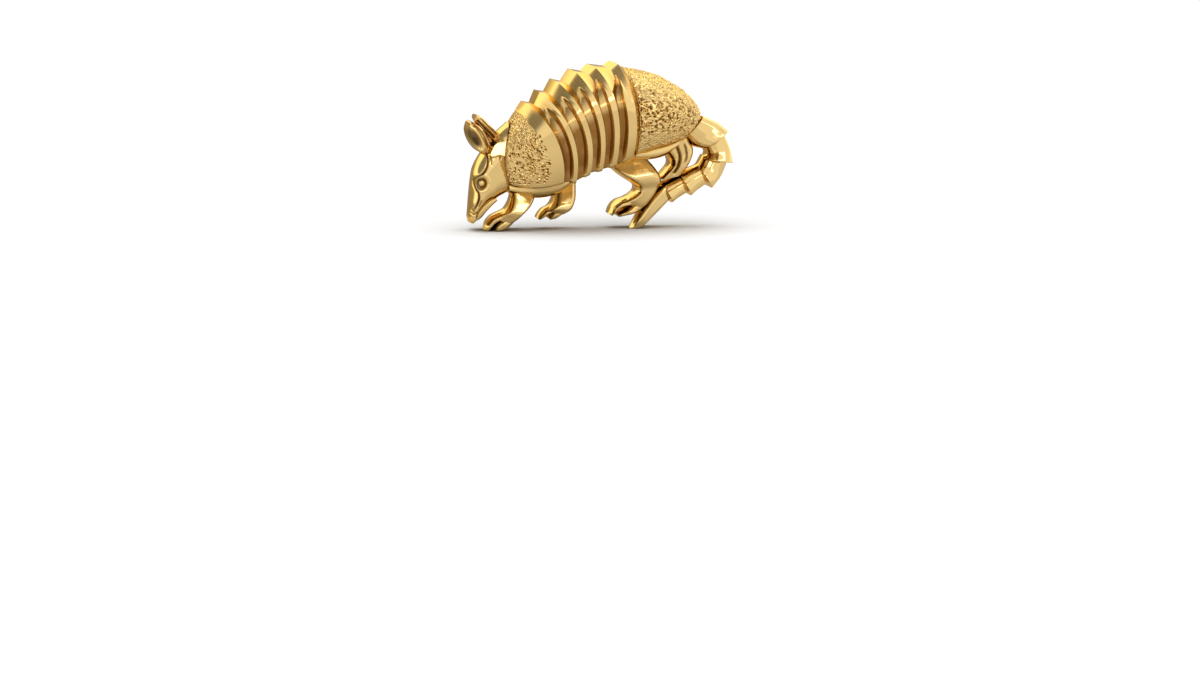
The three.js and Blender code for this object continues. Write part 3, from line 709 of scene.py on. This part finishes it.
def pitted(front, normal, spots, rng, texture, tone):
    # pits, ringed craters and grains, each a few tenths of a millimetre across
    kind = rng.random(len(spots))
    radius = mix(texture["small"], texture["large"], rng.random(len(spots)) ** pitting["sizePower"])
    ringed = (kind > texture["pits"]) & (kind < texture["pits"] + texture["rings"])
    radius[ringed] = mix(texture["ringSmall"], texture["ringLarge"], rng.random(int(ringed.sum())))
    low, high, ring = np.zeros((3, len(front)))
    for spot, sort, reach, isRing in zip(spots, kind, radius, ringed):
        away = np.abs(front[:, 0] - spot[0]) + np.abs(front[:, 1] - spot[1])
        near = np.nonzero(away < pitting["search"] * reach)[0]
        if not len(near):
            continue
        d = np.linalg.norm(front[near, :3] - spot, axis=1) / reach
        inside = np.clip(1 - d**2, 0, 1)
        size = reach / texture["large"]
        if isRing:
            wall = mound(d, *pitting["ring"]) + mound(d, *pitting["bowl"]) + mound(d, *pitting["knob"])
            ring[near] += np.where(d < pitting["ringEnd"], wall, 0) * reach / pitting["ringRadius"]
        elif sort <= texture["pits"]:
            low[near] = np.maximum(low[near], inside ** pitting["pitPower"] * texture["pitDepth"] * size)
            high[near] = np.maximum(high[near], mound(d, *pitting["pitLip"]))
        else:
            high[near] = np.maximum(high[near], inside * texture["bumpHeight"] * size)
    front[:, :3] += normal * ((high - low + ring) * tone)[:, None]
    # painted shade in the pits and in the bowls of the ringed craters
    start, full = pitting["toneDepths"]
    sunk = np.clip((low - pitting["ringTone"] * np.minimum(ring, 0) - start) / (full - start), 0, 1)
    front[:, 3] = np.maximum(front[:, 3], sunk * tone)
    return front


def shapeNormal(shape, u, v, step=0.002):
    du = shape(np.clip(u + step, 0, 1), v)[:, :3] - shape(np.clip(u - step, 0, 1), v)[:, :3]
    dv = shape(u, np.clip(v + step, 0, 1))[:, :3] - shape(u, np.clip(v - step, 0, 1))[:, :3]
    return facingFront(np.cross(du, dv))


def texturedZone(form, u, v):
    # the texture fades out at the leading edge and at the lower edge
    return smooth((form["textureLow"] - v) / form["lowFade"]) * smooth(u / form["leadFade"])


shoulder = {
    "sag": 0.35, "swell": 0.45, "crestAt": 0.94, "width": 6.0, "length": 9.5, "under": 0.3,
    "roll": {"radius": 0.5, "depth": 0.5, "fromBack": 3, "tone": 0.9},
    "grid": (150, 330), "rowsPower": 1.35, "inset": 0.0,
    "margin": [(0, 0.6), (0.15, 0.64), (0.35, 0.74), (0.6, 0.78), (1, 0.77)], "marginFade": 0.07,
    "textureLow": 0.975, "lowFade": 0.03, "leadFade": 0.015, "texturedFrom": 0.93,
    "collarBeads": 34, "beadsAt": 0.022, "beadsFrom": 0.1, "beadsTo": 0.95,
    "texture": {
        "seed": 11, "count": 1500, "gap": 0.2, "pits": 0.62, "rings": 0.09, "small": 0.1, "large": 0.2,
        "ringSmall": 0.22, "ringLarge": 0.32, "pitDepth": 0.28, "bumpHeight": 0.12,
    },
}


def shoulderBase(u, v):
    # u runs from the collar to the first crest and down into the first valley
    crest = shoulder["crestAt"]
    t = np.clip(v, 0, 1) ** shoulder["rowsPower"]
    k = np.clip(u / crest, 0, 1)
    front = overBody(blendCurves(shell["collar"], shell["crests"][0], k), t)
    hump = np.sin(math.pi * k)
    front[:, 1] -= shoulder["sag"] * hump * t * t
    front[:, 2] += shoulder["swell"] * hump * smooth(t / flutes["edgeZone"])
    front = rolledIn(front, shoulder["width"] * k, shoulder["roll"])
    after = u > crest
    if after.any():
        w = (u - crest) / (1 - crest) * valleyShare(0, t)
        front[after] = flutePoint(0, w[after], t[after])
    return rolledOver(front, t, shoulder)


def shoulderTone(u, v):
    # the crest keeps a smooth margin
    margin = np.interp(v ** shoulder["rowsPower"], *zip(*shoulder["margin"]))
    return smooth((margin - u) / shoulder["marginFade"]) * texturedZone(shoulder, u, v)


def shoulderShape(u, v):
    texture = shoulder["texture"]
    normal = shapeNormal(shoulderBase, u, v)
    spots, rng = scatter(texture, lambda a, b: shoulderTone(a, b) > shoulder["texturedFrom"])
    edge = np.linspace(shoulder["beadsFrom"], shoulder["beadsTo"], shoulder["collarBeads"])
    beads = np.column_stack([np.full(len(edge), shoulder["beadsAt"]), edge])
    spots = np.vstack([beads, spots])
    places = spaced(shoulderBase(spots[:, 0], spots[:, 1])[:, :3], texture["gap"])
    return pitted(shoulderBase(u, v), normal, places, rng, texture, shoulderTone(u, v))


shoulderPiece = gridPiece("shoulderCast", shoulderShape, shoulder["grid"], shoulder["inset"])
finishPiece(shoulderPiece, "shoulder_shield", pittedGold)

rollSection = [(-1, 0.8), (-0.85, 0.84), (-0.6, 0.9), (-0.2, 1.0), (0.2, 0.97), (0.55, 0.86), (0.8, 0.68),
               (0.93, 0.45), (0.985, 0.2), (1, 0)]
rim = {
    "left": [(-11.0, 5.42, 5.1), (-9.4, 5.3, 6.0), (-7.6, 5.32, 7.2), (-6.0, 5.62, 8.2), (-4.6, 6.15, 8.6)],
    "right": [(-10.95, 4.45, 4.7), (-9.4, 4.02, 5.2), (-7.4, 3.92, 5.8), (-5.5, 4.48, 7.0),
              (-4.2, 5.6, 7.9)],
    "rise": [0.3, 0.4, 0.4, 0.4, 0.3],
    "profile": rollSection, "drop": 0.9,
    "grid": (120, 24), "inset": 0.018,
}
finishPiece(limbPiece("shoulderRimCast", rim), "shoulder_rim", polishedGold)
print("shoulder done")

bandGrid = (sum(flutes["columns"]), flutes["rows"])
for number, sharpAngle in enumerate(flutes["sharpAngles"], 1):
    band = gridPiece(f"bandCast{number}", bandShape(number), bandGrid, flutes["inset"], sharpAngle)
    finishPiece(band, f"band_{number}", flutedGold)
print("bands done")

pelvis = {
    "width": 8.0, "length": 8.5, "under": 0.3,
    "roll": {"radius": 0.35, "depth": 0.455, "fromBack": 3, "tone": 0.6},
    "grid": (190, 330), "rowsPower": 1.5, "inset": 0.006,
    "textureLow": 0.975, "lowFade": 0.03, "leadFade": 0.02, "texturedFrom": 0.6,
    "calm": 0.55, "calmZone": (0.8, 0.92),
    "texture": {
        "seed": 5, "count": 3200, "gap": 0.18, "pits": 0.62, "rings": 0.08, "small": 0.1, "large": 0.22,
        "ringSmall": 0.24, "ringLarge": 0.36, "pitDepth": 0.32, "bumpHeight": 0.16,
    },
}


def pelvisBase(u, v):
    t = np.clip(v, 0, 1) ** pelvis["rowsPower"]
    front = overBody(curvesThrough(shell["pelvis"], u * (len(shell["pelvis"]) - 1)), t)
    return rolledOver(rolledIn(front, u * pelvis["width"], pelvis["roll"]), t, pelvis)


def pelvisShape(u, v):
    texture = pelvis["texture"]
    normal = shapeNormal(pelvisBase, u, v)
    spots, rng = scatter(texture, lambda a, b: texturedZone(pelvis, a, b) > pelvis["texturedFrom"])
    places = spaced(pelvisBase(spots[:, 0], spots[:, 1])[:, :3], texture["gap"])
    tone = texturedZone(pelvis, u, v) * mix(1.0, pelvis["calm"], between(v, pelvis["calmZone"]))
    return pitted(pelvisBase(u, v), normal, places, rng, texture, tone)


pelvisPiece = gridPiece("pelvisCast", pelvisShape, pelvis["grid"], pelvis["inset"])
finishPiece(pelvisPiece, "pelvic_shield", pittedGold)

skirt = {
    "left": [(3.6, 9.5, 7.0), (5.9, 9.55, 6.6), (7.6, 9.85, 6.0), (9.1, 10.35, 5.5), (10.3, 11.3, 5.1)],
    "right": [(3.5, 8.3, 6.8), (5.3, 8.22, 6.4), (7.0, 8.46, 5.8), (8.5, 9.2, 5.2), (9.9, 10.4, 4.9)],
    "rise": [0.3, 0.4, 0.45, 0.4, 0.3],
    "profile": rollSection, "drop": 1.2,
    "grid": (120, 24), "inset": 0.024,
}
finishPiece(limbPiece("skirtCast", skirt), "pelvic_skirt", polishedGold)
print("hips done")

legForm = {"profile": legSection, "lean": 0.3}
toeForm = {"profile": toeSection, "drop": 1.6, "lean": 0.3, "tip": 0.25}
# each leg is a shank and its toes, joined in one piece
frontNear = [
    {
        **legForm,
        "left": [(-10.5, 4.9, 4.9), (-10.42, 4.0, 4.9), (-10.7, 3.1, 4.8), (-11.22, 2.32, 4.7),
                 (-11.9, 1.95, 4.6), (-12.5, 1.5, 4.5)],
        "right": [(-7.85, 4.45, 5.1), (-8.15, 3.65, 5.1), (-8.6, 2.9, 4.9), (-9.45, 2.05, 4.8),
                  (-10.25, 1.25, 4.7), (-10.9, 0.8, 4.6)],
        "rise": [0.35, 0.72, 1.3, 1.7, 1.1, 0.6],
    },
    {
        **toeForm,
        "left": [(-11.2, 2.25, 4.3), (-12.0, 1.92, 4.6), (-12.85, 1.47, 4.7), (-13.4, 0.76, 4.6),
                 (-13.58, 0.0, 4.4)],
        "right": [(-10.9, 1.5, 4.3), (-11.7, 1.35, 4.6), (-12.5, 0.98, 4.6), (-13.0, 0.45, 4.5),
                  (-13.45, 0.0, 4.3)],
        "rise": [0.9, 0.8, 0.65, 0.5, 0.25],
    },
    {
        **toeForm,
        "left": [(-11.0, 1.8, 4.3), (-11.7, 1.35, 4.5), (-12.2, 0.95, 4.6), (-12.55, 0.45, 4.5),
                 (-12.62, 0.0, 4.3)],
        "right": [(-9.9, 1.6, 4.3), (-10.45, 0.95, 4.6), (-11.1, 0.4, 4.7), (-11.7, 0.12, 4.6),
                  (-12.42, 0.0, 4.3)],
        "rise": [0.9, 0.75, 0.6, 0.45, 0.25],
    },
]
frontFar = [
    {
        **legForm,
        "left": [(-5.2, 5.0, 5.0), (-5.27, 4.1, 4.8), (-5.5, 3.3, 4.6), (-5.95, 2.65, 4.5),
                 (-6.45, 2.3, 4.4)],
        "right": [(-3.15, 5.9, 5.0), (-3.13, 4.9, 4.9), (-3.22, 3.7, 4.7), (-3.72, 2.55, 4.6),
                  (-4.55, 1.9, 4.5)],
        "rise": [0.4, 0.75, 1.3, 1.65, 0.9],
    },
    {
        **toeForm,
        "left": [(-5.45, 3.0, 4.2), (-6.0, 2.58, 4.4), (-6.64, 2.27, 4.5), (-7.12, 1.71, 4.4),
                 (-7.34, 1.27, 4.2)],
        "right": [(-4.95, 2.3, 4.2), (-5.65, 2.1, 4.4), (-6.25, 1.88, 4.5), (-6.7, 1.55, 4.4),
                  (-7.24, 1.22, 4.2)],
        "rise": [0.8, 0.7, 0.6, 0.45, 0.25],
        "tip": 0.2,
    },
    {
        **toeForm,
        "left": [(-4.85, 2.7, 4.2), (-5.4, 2.35, 4.4), (-5.8, 1.95, 4.5), (-6.0, 1.6, 4.4),
                 (-6.1, 1.27, 4.2)],
        "right": [(-3.65, 2.8, 4.2), (-4.25, 2.15, 4.4), (-4.85, 1.7, 4.5), (-5.4, 1.36, 4.4),
                  (-6.02, 1.21, 4.2)],
        "rise": [0.8, 0.7, 0.6, 0.45, 0.25],
        "tip": 0.2,
    },
]
hindNear = [
    {
        **legForm,
        "left": [(0.95, 8.0, 5.2), (1.35, 7.3, 5.2), (1.95, 6.7, 5.3), (2.8, 6.08, 5.3), (3.68, 5.52, 5.3),
                 (4.3, 4.95, 5.2), (4.3, 4.4, 5.2), (3.85, 3.95, 5.1), (3.2, 3.55, 5.0), (2.65, 3.2, 4.8)],
        "right": [(4.7, 8.9, 5.2), (5.5, 8.05, 5.3), (6.1, 7.35, 5.3), (6.6, 6.55, 5.3), (6.85, 5.8, 5.3),
                  (6.6, 5.05, 5.2), (6.2, 4.25, 5.2), (5.65, 3.42, 5.1), (5.1, 2.75, 5.0),
                  (4.45, 2.3, 4.8)],
        "rise": [0.5, 0.75, 1.2, 1.65, 1.5, 1.15, 1.0, 0.95, 0.85, 0.6],
    },
    {
        **toeForm,
        "left": [(3.75, 3.75, 4.7), (3.05, 3.47, 4.8), (2.1, 3.14, 5.0), (1.45, 2.47, 4.9),
                 (1.15, 1.65, 4.7)],
        "right": [(4.05, 2.85, 4.7), (3.35, 2.75, 4.8), (2.4, 2.55, 5.0), (1.8, 2.07, 4.9),
                  (1.26, 1.57, 4.7)],
        "rise": [0.9, 0.8, 0.65, 0.5, 0.25],
    },
    {
        **toeForm,
        "left": [(4.1, 3.0, 4.7), (3.4, 2.7, 4.8), (2.9, 2.25, 5.0), (2.3, 1.9, 4.9), (2.0, 1.5, 4.7)],
        "right": [(5.15, 2.65, 4.7), (4.55, 2.2, 4.8), (3.8, 1.83, 5.0), (3.0, 1.63, 4.9),
                  (2.06, 1.42, 4.7)],
        "rise": [0.9, 0.8, 0.65, 0.5, 0.25],
    },
]
hindFar = [
    {
        **legForm,
        "left": [(7.45, 9.2, 5.0), (8.05, 8.55, 4.8), (8.37, 8.0, 4.6), (8.4, 7.4, 4.6), (7.97, 6.78, 4.6),
                 (7.05, 5.75, 4.5)],
        "right": [(10.05, 10.8, 5.0), (10.4, 10.1, 4.8), (10.82, 9.5, 4.6), (10.77, 8.6, 4.6),
                  (10.3, 7.5, 4.6), (9.45, 6.25, 4.5)],
        "rise": [0.7, 0.8, 0.95, 1.0, 0.9, 0.6],
        "marks": [
            {"line": [(8.6, 10.1), (9.0, 9.2), (9.2, 8.4), (9.0, 7.4), (8.4, 6.4)], "width": 0.16,
             "depth": 0.4, "lip": 0.12, "lipSide": -1, "ends": (0.1, 0.1)},
            {"line": [(9.6, 10.2), (9.9, 9.3), (9.95, 8.4), (9.6, 7.4)], "width": 0.12, "depth": 0.22,
             "ends": (0.2, 0.3)},
        ],
    },
]
legCasting = {"grid": (90, 40), "inset": 0.03, "insetStep": 0.006}
legs = {
    "front_leg_near": ("frontLegNearCast", frontNear),
    "front_leg_far": ("frontLegFarCast", frontFar),
    "hind_leg_near": ("hindLegNearCast", hindNear),
    "hind_leg_far": ("hindLegFarCast", hindFar),
}
for node, (name, parts) in legs.items():
    made = []
    for i, part in enumerate(parts):
        inset = legCasting["inset"] + legCasting["insetStep"] * i
        made.append(limbPiece(f"{name}{i}", {**part, "grid": legCasting["grid"], "inset": inset}))
    finishPiece(joinPieces(name, made), node, polishedGold)
print("legs done")

ringProfile = [(-1, 0.58), (-0.97, 0.7), (-0.88, 0.82), (-0.62, 0.95), (-0.3, 1.0), (0.0, 0.99),
               (0.28, 0.95), (0.34, 0.92), (0.6, 0.82), (0.8, 0.68), (0.92, 0.5), (0.975, 0.33),
               (0.995, 0.15), (1, 0)]
tailRings = [
    {"root": [(12.2, 13.1), (10.1, 10.55)], "outer": (13.85, 12.35), "inner": (11.15, 9.6),
     "rim": [(15.02, 11.4), (12.4, 9.28)]},
    {"root": [(14.6, 11.1), (12.65, 9.4)], "outer": (15.3, 9.4), "inner": (12.93, 8.65),
     "rim": [(15.6, 7.62), (12.55, 8.05)]},
    {"root": [(15.1, 7.95), (12.6, 8.35)], "outer": (14.3, 6.15), "inner": (12.1, 7.45),
     "rim": [(13.1, 4.7), (11.72, 6.92)]},
    {"root": [(12.85, 5.35), (11.92, 7.15)], "outer": (11.45, 4.47), "inner": (10.5, 6.58),
     "rim": [(10.6, 3.85), (9.45, 6.05)]},
    {"root": [(10.45, 4.3), (9.65, 6.0)], "outer": (9.2, 3.61), "inner": (8.45, 5.5),
     "rim": [(8.3, 3.05), (7.4, 5.05)]},
]
ringForm = {
    "profile": ringProfile, "drop": 1.5, "lean": 0.3, "leanSide": 1,
    "edge": (4.4, 4.45, 4.6, 4.6), "rise": (0.7, 0.95, 1.35, 1.3), "beforeRim": 0.86,
    "grid": (60, 48), "inset": 0.01, "insetStep": 0.006,
}
tailTip = {
    "left": [(7.65, 5.05, 4.4), (7.1, 4.55, 4.5), (6.1, 3.5, 4.5), (5.3, 2.35, 4.5), (4.55, 1.1, 4.5),
             (4.03, 0.0, 4.4)],
    "right": [(8.1, 3.45, 4.4), (7.6, 2.98, 4.5), (6.7, 2.07, 4.5), (5.8, 1.17, 4.5), (5.0, 0.43, 4.5),
              (4.17, 0.0, 4.4)],
    "rise": [0.9, 0.95, 0.9, 0.8, 0.65, 0.3],
    "profile": legSection, "lean": 0.55, "tip": 0.3,
    "grid": (90, 36), "inset": 0.03,
}


def ringLimb(number, ring):
    # a cup: narrow at its root, flared at its rim, which ends in a thin lip
    limb = {**ringForm, "inset": ringForm["inset"] + ringForm["insetStep"] * (number % 3)}
    for rail, middle, end in (("left", "outer", 0), ("right", "inner", 1)):
        beforeRim = mix(np.array(ring[middle]), np.array(ring["rim"][end]), ringForm["beforeRim"])
        points = [ring["root"][end], ring[middle], beforeRim, ring["rim"][end]]
        limb[rail] = [(*point, edge) for point, edge in zip(points, ringForm["edge"])]
    return limb


for number, ring in enumerate(tailRings, 1):
    ringPiece = limbPiece(f"tailRingCast{number}", ringLimb(number, ring))
    finishPiece(ringPiece, f"tail_ring_{number}", polishedGold)
finishPiece(limbPiece("tailTipCast", tailTip), "tail_tip", polishedGold)
print("tail done")

# a pale floor that the metal mirrors darker, and darker still behind the charm
floorLook = {"size": 6.0, "tone": 0.86, "reflected": (0.58, 0.25), "darkens": (0.012, 0.04)}
floorMesh = bmesh.new()
bmesh.ops.create_grid(floorMesh, x_segments=1, y_segments=1, size=floorLook["size"] / 2)
floorData = bpy.data.meshes.new("floor")
floorMesh.to_mesh(floorData)
floorMesh.free()
floor = bpy.data.objects.new("floor", floorData)
floor.location.z = cadLow.z
bpy.context.scene.collection.objects.link(floor)
floorMaterial = bpy.data.materials.new("paleFloor")
floorMaterial.use_nodes = True
tree = floorMaterial.node_tree
tree.nodes.remove(tree.nodes["Principled BSDF"])
pale = tree.nodes.new("ShaderNodeBsdfDiffuse")
pale.inputs["Color"].default_value = (floorLook["tone"],) * 3 + (1,)
dim = tree.nodes.new("ShaderNodeBsdfDiffuse")
spot = tree.nodes.new("ShaderNodeSeparateXYZ")
tree.links.new(tree.nodes.new("ShaderNodeTexCoord").outputs["Object"], spot.inputs["Vector"])
fading = rangeNode(tree, spot.outputs["Y"], *floorLook["darkens"], *floorLook["reflected"])
tree.links.new(fading, dim.inputs["Color"])
chosen = tree.nodes.new("ShaderNodeMixShader")
tree.links.new(tree.nodes.new("ShaderNodeLightPath").outputs["Is Glossy Ray"], chosen.inputs["Fac"])
tree.links.new(pale.outputs["BSDF"], chosen.inputs[1])
tree.links.new(dim.outputs["BSDF"], chosen.inputs[2])
tree.links.new(chosen.outputs["Shader"], tree.nodes["Material Output"].inputs["Surface"])
floorData.materials.append(floorMaterial)

# what the metal mirrors: a pale room in front, a dark ceiling, a white sweep behind that ends at the left,
# and one soft box; pairs are where a step starts and ends, in x, y or z of the direction or degrees of tilt
studio = {
    "front": 0.9, "overhead": 0.24, "behind": 1.5, "behindLeft": 0.24, "box": 3.2, "horizon": 0.35,
    "sweepAway": (0.1, 0.4), "ceilingUp": (0.72, 0.84), "ceilingLean": 0.35, "ceilingAway": (-0.25, 0.25),
    "shadeAcross": (-0.45, -0.33), "shadeUp": (0.1, 0.3), "shadeTurn": 0.5, "shadeAround": 0.6,
    "boxTilt": (39, 53), "tiltEdge": 2, "boxAcross": (-0.55, 0.32), "acrossEdge": 0.04,
    "horizonAway": (0.85, 0.93), "horizonAcross": (-0.36, -0.27), "horizonUp": (0.08, 0.16),
    "floorSide": 0.03, "floorTop": 2.0, "floorUp": 0.987, "floorAway": 0.16, "floorStep": (0.37, 0.84),
}
world = bpy.data.worlds.new("studio")
bpy.context.scene.world = world
world.use_nodes = True
sky = world.node_tree


def skyMath(operation, *values):
    return mathNode(sky, operation, *values)


def skyStep(value, ends, low=0.0, high=1.0):
    return rangeNode(sky, value, *ends, low, high, kind="SMOOTHSTEP")


def skyMix(factor, a, b):
    # a where the factor is 0, b where it is 1
    kept = skyMath("MULTIPLY", skyMath("SUBTRACT", 1, factor), a)
    return skyMath("ADD", kept, skyMath("MULTIPLY", factor, b))


def within(value, ends, edge):
    start, end = ends
    falling = skyStep(value, (end - edge, end), 1, 0)
    return skyMath("MULTIPLY", skyStep(value, (start, start + edge)), falling)


direction = sky.nodes.new("ShaderNodeSeparateXYZ")
sky.links.new(sky.nodes.new("ShaderNodeTexCoord").outputs["Generated"], direction.inputs["Vector"])
across, away, up = (direction.outputs[axis] for axis in "XYZ")
room = skyMix(skyStep(away, studio["sweepAway"]), studio["front"], studio["behind"])
leaning = skyMath("SUBTRACT", up, skyMath("MULTIPLY", across, studio["ceilingLean"]))
ceiling = skyMath("MULTIPLY", skyStep(leaning, studio["ceilingUp"]), skyStep(away, studio["ceilingAway"]))
room = skyMix(ceiling, room, studio["overhead"])
raised = skyMath("MULTIPLY", skyMath("SUBTRACT", up, studio["shadeAround"]), studio["shadeTurn"])
turned = skyMath("SUBTRACT", across, raised)
shade = skyMath("MULTIPLY", skyStep(away, studio["sweepAway"]), skyStep(up, studio["shadeUp"]))
shade = skyMath("MULTIPLY", shade, skyStep(turned, studio["shadeAcross"], 1, 0))
room = skyMix(shade, room, studio["behindLeft"])
horizon = skyMath("MULTIPLY", skyStep(away, studio["horizonAway"]),
                  skyStep(across, studio["horizonAcross"]))
horizon = skyMath("MULTIPLY", horizon, skyStep(up, studio["horizonUp"], 1, 0))
room = skyMix(horizon, room, studio["horizon"])
tilt = skyMath("ARCTAN2", up, skyMath("MULTIPLY", away, -1))
boxTilt = [math.radians(angle) for angle in studio["boxTilt"]]
inBox = skyMath("MULTIPLY", within(tilt, boxTilt, math.radians(studio["tiltEdge"])),
                within(across, studio["boxAcross"], studio["acrossEdge"]))
mirrored = skyMix(inBox, room, studio["box"])
# what lights the floor: mostly from overhead
overFront = skyMath("MULTIPLY", up, studio["floorUp"])
overFront = skyMath("SUBTRACT", overFront, skyMath("MULTIPLY", away, studio["floorAway"]))
soft = skyStep(overFront, studio["floorStep"], studio["floorSide"], studio["floorTop"])
# the metal mirrors the room for the camera only, so it throws no bright patches on the floor
rays = sky.nodes.new("ShaderNodeLightPath")
direct = skyMath("LESS_THAN", rays.outputs["Diffuse Depth"], 0.5)
strength = skyMix(rays.outputs["Is Glossy Ray"], soft, skyMath("MULTIPLY", mirrored, direct))
sky.links.new(strength, sky.nodes["Background"].inputs["Strength"])
sky.nodes["Background"].inputs["Color"].default_value = (1, 1, 1, 1)

view = {
    "place": (-0.071139, -0.445649, 0.036054), "azimuth": 9.015, "elevation": 7.381, "roll": -0.2,
    "lens": 116.133, "sensor": 36, "clip": (0.01, 20),
}
cameraData = bpy.data.cameras.new("camera")
cameraData.lens = view["lens"]
cameraData.sensor_width = view["sensor"]
cameraData.clip_start, cameraData.clip_end = view["clip"]
camera = bpy.data.objects.new("camera", cameraData)
azimuth, elevation, roll = (math.radians(view[key]) for key in ("azimuth", "elevation", "roll"))
level = math.cos(elevation)
forward = Vector((math.sin(azimuth) * level, math.cos(azimuth) * level, -math.sin(elevation)))
camera.location = (cadLow + cadHigh) / 2 + Vector(view["place"])
camera.rotation_mode = "QUATERNION"
rolled = Matrix.Rotation(roll, 3, "Z").to_quaternion()
camera.rotation_quaternion = forward.to_track_quat("-Z", "Y") @ rolled
bpy.context.scene.collection.objects.link(camera)
bpy.context.scene.camera = camera
bpy.context.scene.view_settings.view_transform = "Standard"
print("stage done")
